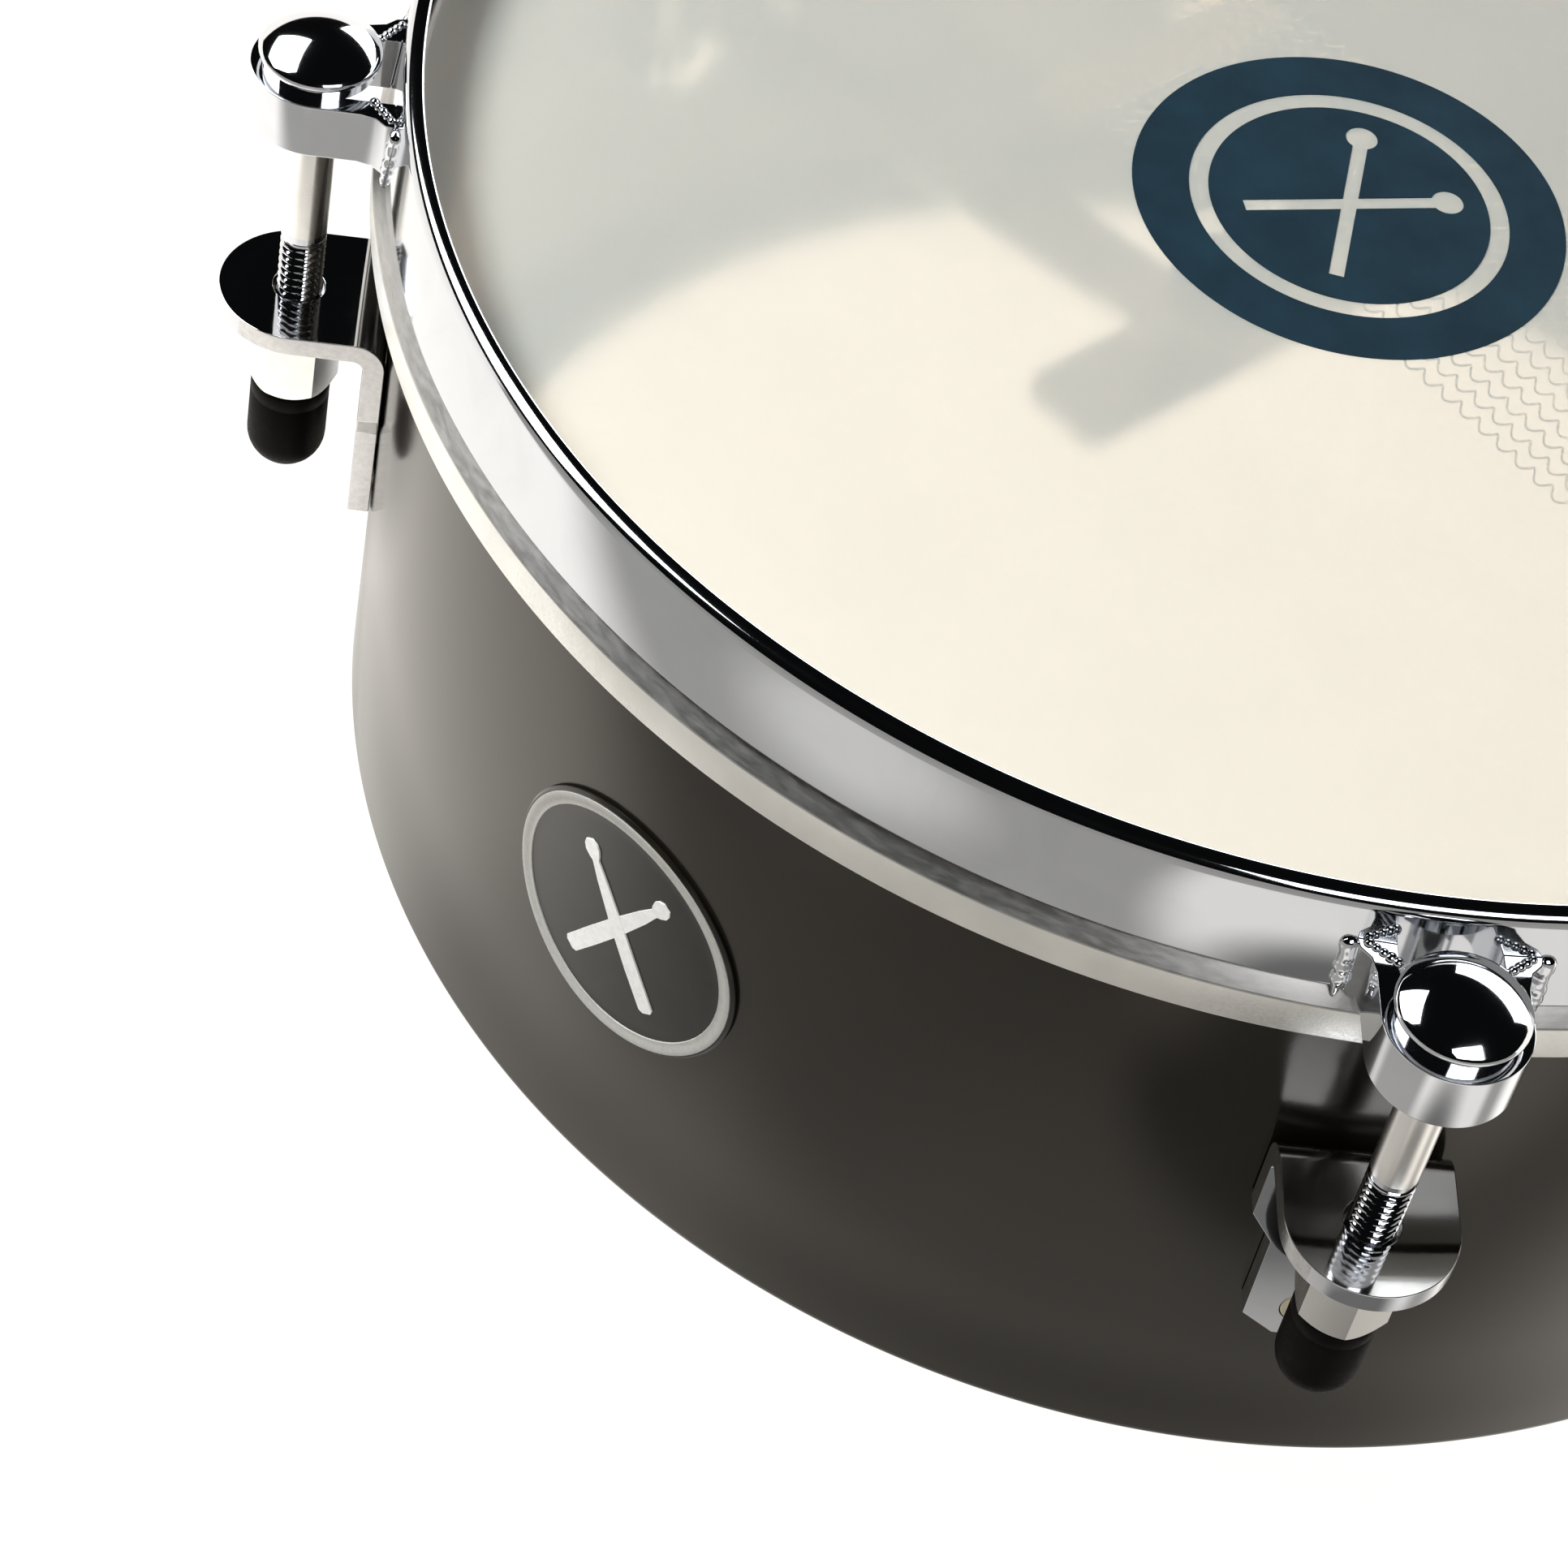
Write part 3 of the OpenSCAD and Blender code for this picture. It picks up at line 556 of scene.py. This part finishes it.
def soft_node(node, slot, width, materials=None, segments=2):
    """Replaces a CAD node with its softened copy."""
    obj = finish_mesh(softened(node, width, segments), node + "_skin", materials or slot)
    return attach(obj, frame["nodes"][node]["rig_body"], slot, node)


# ---------------------------------------------------------------- camera, floor and lights

CAMERA = {
    "distance": 686.48,
    "azimuth": 28.94,
    "elevation": 46.4721,
    "yaw": -4.70425,
    "pitch": -2.18549,
    "roll": 18.01392,
    "lens": 103.64,
}


def make_camera():
    """A camera that first looks at the origin, then turns sideways, down and about its own axis."""
    elevation = math.radians(CAMERA["elevation"])
    place = CAMERA["distance"] * Vector((0, -math.cos(elevation), math.sin(elevation)))
    ahead = -place.normalized()
    right = Vector((1, 0, 0))
    up = right.cross(ahead)
    yaw, pitch, roll = (math.radians(CAMERA[k]) for k in ("yaw", "pitch", "roll"))
    ahead, right = (
        math.cos(yaw) * ahead + math.sin(yaw) * right,
        math.cos(yaw) * right - math.sin(yaw) * ahead,
    )
    ahead, up = (
        math.cos(pitch) * ahead + math.sin(pitch) * up,
        math.cos(pitch) * up - math.sin(pitch) * ahead,
    )
    right, up = (
        math.cos(roll) * right + math.sin(roll) * up,
        math.cos(roll) * up - math.sin(roll) * right,
    )
    turn = Matrix.Rotation(math.radians(CAMERA["azimuth"]), 3, "Z")
    basis = turn @ Matrix((right, up, -ahead)).transposed()
    data = bpy.data.cameras.new("camera")
    data.lens = CAMERA["lens"]
    data.sensor_width = 36
    data.clip_start = 0.01
    data.clip_end = 50
    obj = bpy.data.objects.new("camera", data)
    obj.matrix_world = Matrix.Translation(turn @ place * MM) @ basis.to_4x4()
    bpy.context.scene.collection.objects.link(obj)
    bpy.context.scene.camera = obj


FLOOR_Z = -0.4
FLOOR_SHADED_SIDE = 304  # azimuth of the floor's side with painted shade
FLOOR_PAINTED_LIGHT = 1.4
FLOOR_PAINTED_SHADE = 0.42
FLOOR_LEAST = 0.14
# Painted pools of light and painted shadows on the floor that the metal mirrors: x, y, full within, nothing
# beyond, added glow
FLOOR_PAINTED_LIGHT_AND_SHADOWS = (
    (14, -270, 20, 75, 0.4),
    (215, -170, 84, 112, 0.62),
    (150, -146, 22, 58, -0.9),
    (75, -130, 15, 60, 0.12),
    (-24, -132, 12, 44, -0.35),
    (-135, -72, 12, 36, -0.55),
    (0, 0, 130, 141, -0.38),
    (0, 0, 112, 119, 0.38),
)


def even_glow(m):
    return 1.0


def painted_light_and_shade_glow(m):
    """Painted light under and behind the drum and painted shade beyond its front, with painted pools of light
    and painted shadows round it.
    """
    ahead = m.along(FLOOR_SHADED_SIDE)
    glow = m.remap(ahead, 98 * MM, 146 * MM, FLOOR_PAINTED_LIGHT, FLOOR_PAINTED_SHADE, smooth=True)
    for place in FLOOR_PAINTED_LIGHT_AND_SHADOWS:
        glow = m.math("ADD", glow, m.near(*place))
    return m.math("MAXIMUM", glow, FLOOR_LEAST)


def floor_material(name, strength, colour):
    """A pale surface that glows, so that it stays pale where the drum stands on it. Its glow may carry
    painted light and shade.
    """
    m = Nodes(name, (0.04, 0.04, 0.04), 0.8, Specular_IOR_Level=0.0)
    m.shader.inputs["Emission Color"].default_value = (*colour, 1)
    m.put(m.shader.inputs["Emission Strength"], strength(m))
    return m.material


def make_floor(name, strength, rays, colour):
    """A sweep: a flat disc whose edge curves up all round. Only the named kinds of ray see it."""
    flat, bend = 2400, 900
    outline = [(r, FLOOR_Z) for r in (0, 150, 400, 900, 1600, flat)]
    for k in range(1, 9):
        angle = math.radians(11.25 * k)
        outline.append((flat + bend * math.sin(angle), FLOOR_Z + bend * (1 - math.cos(angle))))
    bm = lathe(outline, 96, closed=False)
    bmesh.ops.recalc_face_normals(bm, faces=bm.faces)
    mesh = bpy.data.meshes.new(name)
    bm.to_mesh(mesh)
    bm.free()
    mesh.transform(Matrix.Scale(MM, 4))
    obj = bpy.data.objects.new(name, mesh)
    bpy.context.scene.collection.objects.link(obj)
    for face in mesh.polygons:
        face.use_smooth = True
    mesh.materials.append(floor_material(name, strength, colour))
    for ray in ("camera", "transmission", "glossy", "diffuse", "shadow"):
        setattr(obj, "visible_" + ray, ray in rays)


def softbox(name, centre, size, radiance, colour=(1, 1, 1), glossy=True):
    """A rectangular light at a point, facing the middle of the drum."""
    data = bpy.data.lights.new(name, "AREA")
    data.shape = "RECTANGLE"
    data.size, data.size_y = (s * MM for s in size)
    data.energy = radiance * math.pi * data.size * data.size_y
    data.color = colour
    obj = bpy.data.objects.new(name, data)
    place = Vector(centre)
    aim = Vector((0, 0, 80))
    turn = (aim - place).to_track_quat("-Z", "Y").to_matrix().to_4x4()
    obj.matrix_world = Matrix.Translation(place * MM) @ turn
    obj.visible_camera = False
    obj.visible_glossy = glossy
    bpy.context.scene.collection.objects.link(obj)


def make_lights():
    world = bpy.data.worlds.new("studio")
    world.use_nodes = True
    background = world.node_tree.nodes["Background"]
    background.inputs["Color"].default_value = (0.9, 0.95, 1.0, 1)
    background.inputs["Strength"].default_value = 0.004
    bpy.context.scene.world = world
    softbox("box_left", (-403, -200, 511), (450, 340), 5.0)
    softbox("box_front", (378, -229, 509), (290, 215), 5.0)
    softbox("box_back", (-100, 1350, 540), (1600, 850), 5.0, (0.97, 0.985, 1.0))
    softbox("key_left", (-703, -453, 982), (340, 340), 47.0, (0.93, 0.985, 1), glossy=False)


make_camera()
make_floor("floor", even_glow, ("camera", "transmission"), (1, 0.995, 0.975))
# The floor that the metal mirrors, and that lights the drum, glows with painted light and painted shadows.
make_floor("floor_painted_light_and_shade", painted_light_and_shade_glow, ("glossy", "diffuse"), (1, 0.955, 0.89))
make_lights()
view = bpy.context.scene.view_settings
view.view_transform = "Standard"
view.look = "None"


# ---------------------------------------------------------------- shell and badge


def shell_skin():
    bend_in = RIM_BEND - WALL
    inner = SHELL_R - WALL
    outline = [
        (SHELL_R - RIM_W, 0),
        (SHELL_R, 0),
        (SHELL_R, SHELL_H),
        (inner, SHELL_H),
        (inner, WALL),
        (SHELL_R - RIM_W, WALL),
    ]
    radii = [EDGE_ROUND, RIM_BEND, TOP_ROUND, TOP_ROUND, bend_in, EDGE_ROUND]
    bm = lathe(rounded(outline, radii, 6), 512)
    obj = finish_mesh(bm, "shell_skin", "black_steel", weighted=False)
    attach(obj, "shell", "black_steel", "shell")


badge_low, badge_high = box_mm("badge")
BADGE_R = (badge_high.z - badge_low.z) / 2
BADGE_Z = (badge_high.z + badge_low.z) / 2
BADGE_BACK = SHELL_R + 0.06


def on_shell(u, v, out):
    """The point at arc length u and height v from the badge's centre, at that distance from the axis."""
    angle = u / SHELL_R
    return (out * math.sin(angle), -out * math.cos(angle), BADGE_Z + v)


def badge_disc(name, profile, material):
    """A disc that follows the shell. profile lists (radius on the disc, distance from the shell)."""
    segments = 96
    bm = bmesh.new()
    rings = []
    for radius, lift in profile:
        out = BADGE_BACK + lift
        if radius < 1e-6:
            rings.append([bm.verts.new(on_shell(0, 0, out))])
            continue
        ring = []
        for k in range(segments):
            angle = TAU * k / segments
            ring.append(bm.verts.new(on_shell(radius * math.cos(angle), radius * math.sin(angle), out)))
        rings.append(ring)
    for lower, upper in zip(rings, rings[1:]):
        bridge(bm, lower, upper)
    return finish_mesh(bm, name, material, weighted=False)


def disc_rings(inner, outer, steps):
    return [inner + (outer - inner) * k / steps for k in range(steps + 1)]


def badge_pieces():
    thick, rim = 0.55, 0.82
    plate = [(0, 0)] + [(r, 0) for r in disc_rings(3, BADGE_R - 0.3, 8)]
    plate += [(BADGE_R, 0.25), (BADGE_R, 0.5), (BADGE_R - 0.35, rim - 0.04), (BADGE_R - 1.0, rim)]
    plate += [(BADGE_R - 1.5, 0.62)]
    plate += [(r, thick) for r in reversed(disc_rings(3, BADGE_R - 2, 8))] + [(0, thick)]
    attach(badge_disc("badge_plate", plate, "badge_black"), "shell", "badge_black", "badge")
    border = [(BADGE_R - 2.5, 0.5), (BADGE_R - 2.4, 0.7), (BADGE_R - 1.6, 0.72), (BADGE_R - 1.2, 0.9)]
    border += [(BADGE_R - 0.6, 0.88), (BADGE_R - 0.5, 0.6)]
    attach(badge_disc("badge_border", border, "badge_grey"), "shell", "badge_black")
    for k, angle in enumerate((-34, 34)):
        stick(f"badge_stick_{k + 1}", math.radians(angle), BADGE_R * 0.66, 0.74 + 0.06 * k)


def stick(name, angle, reach, lift):
    """One flat drumstick of the badge's mark, turned by an angle from upright."""
    outline = stick_outline(reach)
    bm = bmesh.new()
    spread = []
    for x, y in outline:
        u = x * math.cos(angle) - y * math.sin(angle)
        v = x * math.sin(angle) + y * math.cos(angle)
        spread.append((u, v))
    top = [bm.verts.new(on_shell(u, v, BADGE_BACK + lift)) for u, v in spread]
    bottom = [bm.verts.new(on_shell(u, v, BADGE_BACK + 0.5)) for u, v in spread]
    count = len(spread)
    half = count // 2
    for ring in (top, bottom):
        for k in range(half - 1):
            bm.faces.new([ring[k], ring[k + 1], ring[count - 2 - k], ring[count - 1 - k]])
    for k in range(count):
        n = (k + 1) % count
        bm.faces.new([bottom[k], bottom[n], top[n], top[k]])
    attach(finish_mesh(bm, name, "badge_white", weighted=False), "shell", "badge_black")


def stick_outline(reach):
    """Half widths along a stick, from its butt to its tip, as a closed outline mirrored about its length."""
    shape = [(-1.0, 0.056), (-0.96, 0.096), (-0.5, 0.1), (0.0, 0.096), (0.5, 0.072), (0.74, 0.048)]
    shape += [(0.79, 0.08), (0.86, 0.105), (0.93, 0.092), (0.98, 0.048)]
    right = [(w * reach, y * reach) for y, w in shape]
    left = [(-x, y) for x, y in reversed(right)]
    return right + left


shell_skin()
badge_pieces()


# ---------------------------------------------------------------- head and hoops


def film_skin():
    """The film: flat, over the bearing edge in a small bend, and down into the flesh hoop."""
    flat = COLLAR_R - FILM_BEND
    inner_bend = FILM_BEND - FILM_T
    radii = (20, 45, 70, 95, 110, 120, flat - 1)
    angles = [math.radians(15 * k) for k in range(7)]
    outline = [(0, FILM_TOP)] + [(r, FILM_TOP) for r in radii]
    for angle in reversed(angles):
        height = FILM_TOP - FILM_BEND + FILM_BEND * math.sin(angle)
        outline.append((flat + FILM_BEND * math.cos(angle), height))
    outline += [(COLLAR_R, film_low.z), (COLLAR_R - FILM_T, film_low.z)]
    for angle in angles:
        height = FILM_TOP - FILM_BEND + inner_bend * math.sin(angle)
        outline.append((flat + inner_bend * math.cos(angle), height))
    outline += [(r, FILM_TOP - FILM_T) for r in reversed(radii)] + [(0, FILM_TOP - FILM_T)]
    bm = lathe(outline, 256, closed=False)
    obj = finish_mesh(bm, "film_skin", "milky_film", sharp=60, weighted=False)
    attach(obj, "hoop", "milky_film", "head_film")


def flesh_skin():
    """The flesh hoop: a ring with a straight face under a sloping shoulder, each with its own finish; the
    shoulder's finish is darkened with painted shade.
    """
    low, high = flesh_low.z, flesh_high.z
    out = flesh_high.x
    shoulder = high - 2.6
    neck = HOOP_OUT - 0.8
    inner = COLLAR_R + 0.02
    outline = [(inner, low), (out, low), (out, shoulder), (neck, high - 0.7)]
    outline += [(neck - 0.6, high), (inner, high)]
    bm = lathe(rounded(outline, [0.2, 0.5, 0.45, 0.3, 0.2, 0.1], 4), 512)
    for face in bm.faces:
        if shoulder - 0.15 < face.calc_center_median().z < high - 0.1:
            face.material_index = 1
    obj = finish_mesh(bm, "flesh_skin", ["satin_aluminium", "turned_aluminium_painted_shade"], weighted=False)
    attach(obj, "hoop", "satin_aluminium", "flesh_hoop")


def hoop_skin():
    """The counter hoop: a flat bar that leans inwards. Its top is rounded, more outside than inside."""
    low = hoop_low.z
    top = hoop_high.z
    outside = HOOP_OUT - HOOP_LEAN
    outline = [(HOOP_OUT - HOOP_T, low), (HOOP_OUT, low)]
    inside = outside - HOOP_T
    corners = ((0, HOOP_ROUND, outside - HOOP_ROUND), (90, HOOP_INNER_ROUND, inside + HOOP_INNER_ROUND))
    for start, r, x in corners:
        for k in range(7):
            angle = math.radians(start + 15 * k)
            outline.append((x + r * math.cos(angle), top - r + r * math.sin(angle)))
    outline.append((HOOP_OUT - HOOP_T, FILM_TOP + 0.4))
    radii = [0.35, 0.45] + [0] * 14 + [2.0]
    bm = lathe(rounded(outline, radii, 4), 512)
    obj = finish_mesh(bm, "hoop_skin", "hoop_chrome", weighted=False)
    attach(obj, "hoop", "chrome", "counter_hoop")


film_skin()
flesh_skin()
hoop_skin()
frame["nodes"]["head_sticker"].data.materials.clear()
frame["nodes"]["head_sticker"].data.materials.append(MATERIALS["navy_ink"])


# ---------------------------------------------------------------- lugs


def mark_sheared(bm, i):
    """Marks a bracket's cut faces: those that point sideways, across the lug's radius."""
    out = Vector((math.cos(lug_angle(i)), math.sin(lug_angle(i)), 0))
    bm.normal_update()
    for face in bm.faces:
        n = face.normal
        if abs(n.cross(out).z) > 0.75:
            face.material_index = 1


def dome_profile():
    """Half section of a rod's head, from its top to its underside."""
    low = rod_high.z - DOME_RISE - DOME_RIM
    ball = (DOME_R**2 + DOME_RISE**2) / (2 * DOME_RISE)
    middle = rod_high.z - ball
    outline = [(0, rod_high.z)]
    steps = 14
    limit = math.asin((DOME_R - 0.12) / ball)
    for k in range(1, steps + 1):
        angle = limit * k / steps
        outline.append((ball * math.sin(angle), middle + ball * math.cos(angle)))
    outline += [(DOME_R, low + DOME_RIM - 0.12), (DOME_R, low + 0.25), (DOME_R - 0.1, low + 0.12)]
    outline += [(DOME_R - 0.3, low), (SEAT_R, low), (SEAT_R, low - SEAT_H), (ROD_R, low - SEAT_H)]
    return outline


def thread_radius(z, angle, low):
    """Radius of a rod's rolled thread at a height and an angle, with a runout above and a chamfer below."""
    fade = min(1.0, max(0.0, (THREAD_TOP - z) / 1.2))
    chamfer = 0.55 * (1 - min(1.0, max(0.0, (z - low) / 0.9)))
    turn = (z / THREAD_PITCH - angle / TAU) % 1.0
    ridge = min(1.0, max(0.0, 1.25 * (1 - abs(2 * turn - 1)) - 0.12))
    return ROD_R - THREAD_DEPTH * (1 - ridge) * fade - chamfer


def rod_skin(i):
    """A tension rod: domed head, smooth shank, and a rolled thread down to a chamfered end."""
    segments = 48
    low, start = rod_low.z, THREAD_TOP + 1
    bm = lathe(dome_profile() + [(ROD_R, 100), (ROD_R, 90), (ROD_R, start)], segments, closed=False)
    for face in bm.faces:
        middle = face.calc_center_median()
        if middle.z < 100 and middle.xy.length < ROD_R + 0.1:
            face.material_index = 1
    bm.verts.ensure_lookup_table()
    previous = bm.verts[len(bm.verts) - segments :]
    rows = int((start - low) / (THREAD_PITCH / 8))
    for row in range(1, rows + 1):
        z = start - (start - low) * row / rows
        ring = []
        for k in range(segments):
            angle = TAU * k / segments
            radius = thread_radius(z, angle, low)
            ring.append(bm.verts.new((radius * math.cos(angle), radius * math.sin(angle), z)))
        bridge(bm, previous, ring)
        previous = ring
    bm.faces.new(previous)
    bmesh.ops.transform(bm, matrix=lug_matrix(i, ROD_X), verts=bm.verts)
    obj = finish_mesh(bm, f"rod_skin_{i}", ["chrome", "nickel"], sharp=50, weighted=False)
    attach(obj, "hoop", "chrome", f"tension_rod_{i}")


def ear_skin(i):
    obj = finish_mesh(softened(f"hoop_ear_{i}", 0.2), f"ear_skin_{i}", "chrome")
    attach(obj, "hoop", "chrome", f"hoop_ear_{i}")


def hoop_face(z):
    """Distance of the hoop's outer face from the axis at a height."""
    return HOOP_OUT - HOOP_LEAN * (z - hoop_low.z) / (hoop_high.z - HOOP_ROUND - hoop_low.z)


WELD_ACROSS = 11.6  # from the ear's middle plane to a fillet
WELD_RUNOUT = 1.6  # how far a fillet runs on below the ear
DROPS = 5
DROP_R = 0.72
DROP_ACROSS, DROP_STEP = 6.4, 0.8
DROP_OUT, DROP_STEP_IN = 2.6, 0.62
DROP_SINK = 0.15


def weld_fillet(i, side, ear_low, ear_high):
    """A plated weld where an ear's wing meets the hoop: a lumpy string that runs out below the ear."""
    low, high = ear_low - WELD_RUNOUT, ear_high + 0.1
    steps, around = 26, 12
    bm = bmesh.new()
    rings = []
    for row in range(steps + 1):
        part = row / steps
        z = low + (high - low) * part
        swell = min(1.0, (part / 0.3) ** 0.6) * min(1.0, ((1 - part) / 0.06) ** 0.5 + 0.05)
        size = max(0.05, swell) * (1.0 + 0.4 * noise(Vector((i * 3.1, side * 7.7, z * 0.9))))
        reach = hoop_face(z)
        angle = side * (WELD_ACROSS + 0.3 * noise(Vector((z * 0.7, i, side)))) / reach
        centre = Vector((reach * math.cos(angle), reach * math.sin(angle), z))
        turns = [TAU * k / around for k in range(around)]
        spokes = [size * Vector((0.8 * math.cos(a), math.sin(a), 0)) for a in turns]
        rings.append([bm.verts.new(centre + spoke) for spoke in spokes])
    for lower, upper in zip(rings, rings[1:]):
        bridge(bm, lower, upper)
    bm.faces.new(rings[0])
    bm.faces.new(rings[-1])
    return bm


def weld_drops(bm, i, side, ear_high):
    """Small beads along the ear's upper edge, beside the fillet."""
    for k in range(DROPS):
        across = side * (DROP_ACROSS + DROP_STEP * k)
        out = hoop_face(ear_high) + DROP_OUT - DROP_STEP_IN * k
        r = DROP_R + 0.22 * noise(Vector((i * 1.7, side * 2.3, k * 1.9)))
        angles = [math.radians(a) for a in range(20, 180, 20)]
        outline = [(0, r)] + [(r * math.sin(a), r * math.cos(a)) for a in angles] + [(0, -r)]
        drop = lathe(outline, 12, closed=False)
        place = Matrix.Translation((out, across, ear_high - DROP_SINK))
        bmesh.ops.transform(drop, matrix=place, verts=drop.verts)
        part = bpy.data.meshes.new("drop")
        drop.to_mesh(part)
        drop.free()
        bm.from_mesh(part)
        bpy.data.meshes.remove(part)


def ear_weld(i, side):
    ear_low, ear_high = (corner.z for corner in box_mm(f"hoop_ear_{i}"))
    bm = weld_fillet(i, side, ear_low, ear_high)
    weld_drops(bm, i, side, ear_high)
    bmesh.ops.transform(bm, matrix=lug_matrix(i), verts=bm.verts)
    where = "left" if side < 0 else "right"
    attach(finish_mesh(bm, f"ear_weld_{i}_{where}", "chrome", sharp=70, weighted=False), "hoop", "chrome")


def bracket_skin(i):
    bm = softened(f"lug_bracket_{i}", 0.35)
    mark_sheared(bm, i)
    obj = finish_mesh(bm, f"bracket_skin_{i}", ["chrome", "sheared_edge"])
    attach(obj, "shell", "chrome", f"lug_bracket_{i}")


def tip_skin(i):
    """A rubber tip: a hollow cylinder with a round end and a shallow groove below its mouth."""
    low, high = box_mm(f"rubber_tip_{i}")
    top, bottom = high.z, low.z
    bore, bore_depth = 3.6, 8
    groove = top - 2.6
    outline = [(0, bottom)]
    steps = 10
    for k in range(1, steps + 1):
        angle = math.radians(90 * k / steps)
        outline.append((TIP_R * math.sin(angle), bottom + TIP_R - TIP_R * math.cos(angle)))
    outline += [(TIP_R, groove - 0.6), (TIP_R - 0.12, groove - 0.3)]
    outline += [(TIP_R - 0.12, groove), (TIP_R, groove + 0.3)]
    outline += [(TIP_R, top - 0.5), (TIP_R - 0.15, top - 0.15), (TIP_R - 0.5, top)]
    outline += [(bore, top), (bore, bottom + bore_depth), (0, bottom + bore_depth)]
    bm = lathe(outline, 64, closed=False)
    bmesh.ops.transform(bm, matrix=lug_matrix(i, ROD_X), verts=bm.verts)
    obj = finish_mesh(bm, f"tip_skin_{i}", "rubber", sharp=50, weighted=False)
    attach(obj, f"nut_{i}", "rubber", f"rubber_tip_{i}")


for i in LUGS:
    rod_skin(i)
    ear_skin(i)
    ear_weld(i, -1)
    ear_weld(i, 1)
    bracket_skin(i)
    soft_node(f"hex_nut_{i}", "chrome", 0.5, "nickel", segments=3)
    tip_skin(i)
soft_node("bracket_screws", "zinc", 0.3, "yellow_zinc")
soft_node("screw_washers", "zinc", 0.12)


# ---------------------------------------------------------------- snare unit

STRANDS = 14
STRAND_STEP = 3.0
STRAND_Y = 1.5
STRAND_TURN = math.radians(-3.6)
STRAND_X0 = -44.0
STRAND_X1 = 76.0
COIL_R = 0.78
COIL_RISE = 0.45
WIRE_R = 0.17
COIL_PITCH = 3.45
BOW = 3.5


def strand(bm, k):
    """One coiled strand: a wire wound about a path that bows sideways a little."""
    y0 = STRAND_Y + (k - (STRANDS - 1) / 2) * STRAND_STEP
    z0 = FILM_TOP - FILM_T - 0.02 - COIL_RISE - WIRE_R
    middle, half = (STRAND_X0 + STRAND_X1) / 2, (STRAND_X1 - STRAND_X0) / 2
    per_turn, sides = 14, 6
    count = int(2 * half / COIL_PITCH * per_turn)
    rotate = Matrix.Rotation(STRAND_TURN, 4, "Z")

    def path(s):
        x = STRAND_X0 + 2 * half * s / count
        bow = BOW * (1 - ((x - middle) / half) ** 2)
        angle = TAU * s / per_turn + k * 0.5
        return Vector((x, y0 + bow + COIL_R * math.cos(angle), z0 + COIL_RISE * math.sin(angle)))

    rings = []
    for s in range(count + 1):
        here = path(s)
        along = (path(s + 1) - path(s - 1)).normalized()
        side = along.cross(Vector((0, 0, 1))).normalized()
        lift = side.cross(along)
        turns = [TAU * a / sides for a in range(sides)]
        offsets = [WIRE_R * (math.cos(t) * side + math.sin(t) * lift) for t in turns]
        rings.append([bm.verts.new(rotate @ (here + offset)) for offset in offsets])
    for lower, upper in zip(rings, rings[1:]):
        bridge(bm, lower, upper)
    bm.faces.new(rings[0])
    bm.faces.new(rings[-1])


def strands_skin():
    bm = bmesh.new()
    for k in range(STRANDS):
        strand(bm, k)
    obj = finish_mesh(bm, "coiled_strands", "spring_steel", sharp=80, weighted=False)
    attach(obj, "shell", "spring_steel", "snare_wires")


strands_skin()
for side in ("left", "right"):
    soft_node(f"snare_clip_{side}", "zinc", 0.25)
    soft_node(f"snare_strap_{side}", "ribbon", 0.1)
    soft_node(f"strap_anchor_{side}", "zinc", 0.3)
for node, slot, width in (
    ("anchor_screws", "chrome", 0.3),
    ("arm_screws", "chrome", 0.3),
    ("weld_nut", "zinc", 0.25),
    ("snare_saddle", "zinc", 0.3),
    ("saddle_felt", "felt", 0.3),
    ("lift_screw", "zinc", 0.2),
    ("lift_knob", "black_plastic", 0.4),
):
    soft_node(node, slot, width)
soft_node("snare_arm", "zinc", 0.4, "dull_zinc")
soft_node("snare_crossbar", "zinc", 0.4, "dull_zinc")


# ---------------------------------------------------------------- rod mount

for node, slot, width in (
    ("mount_gasket", "rubber", 0.3),
    ("mount_plate", "chrome", 0.5),
    ("clamp_block", "chrome", 0.8),
    ("clamp_shoe", "brass", 0.15),
    ("wing_screw", "chrome", 0.9),
    ("mount_screws", "chrome", 0.5),
    ("mount_nuts", "zinc", 0.3),
):
    soft_node(node, slot, width, segments=3)
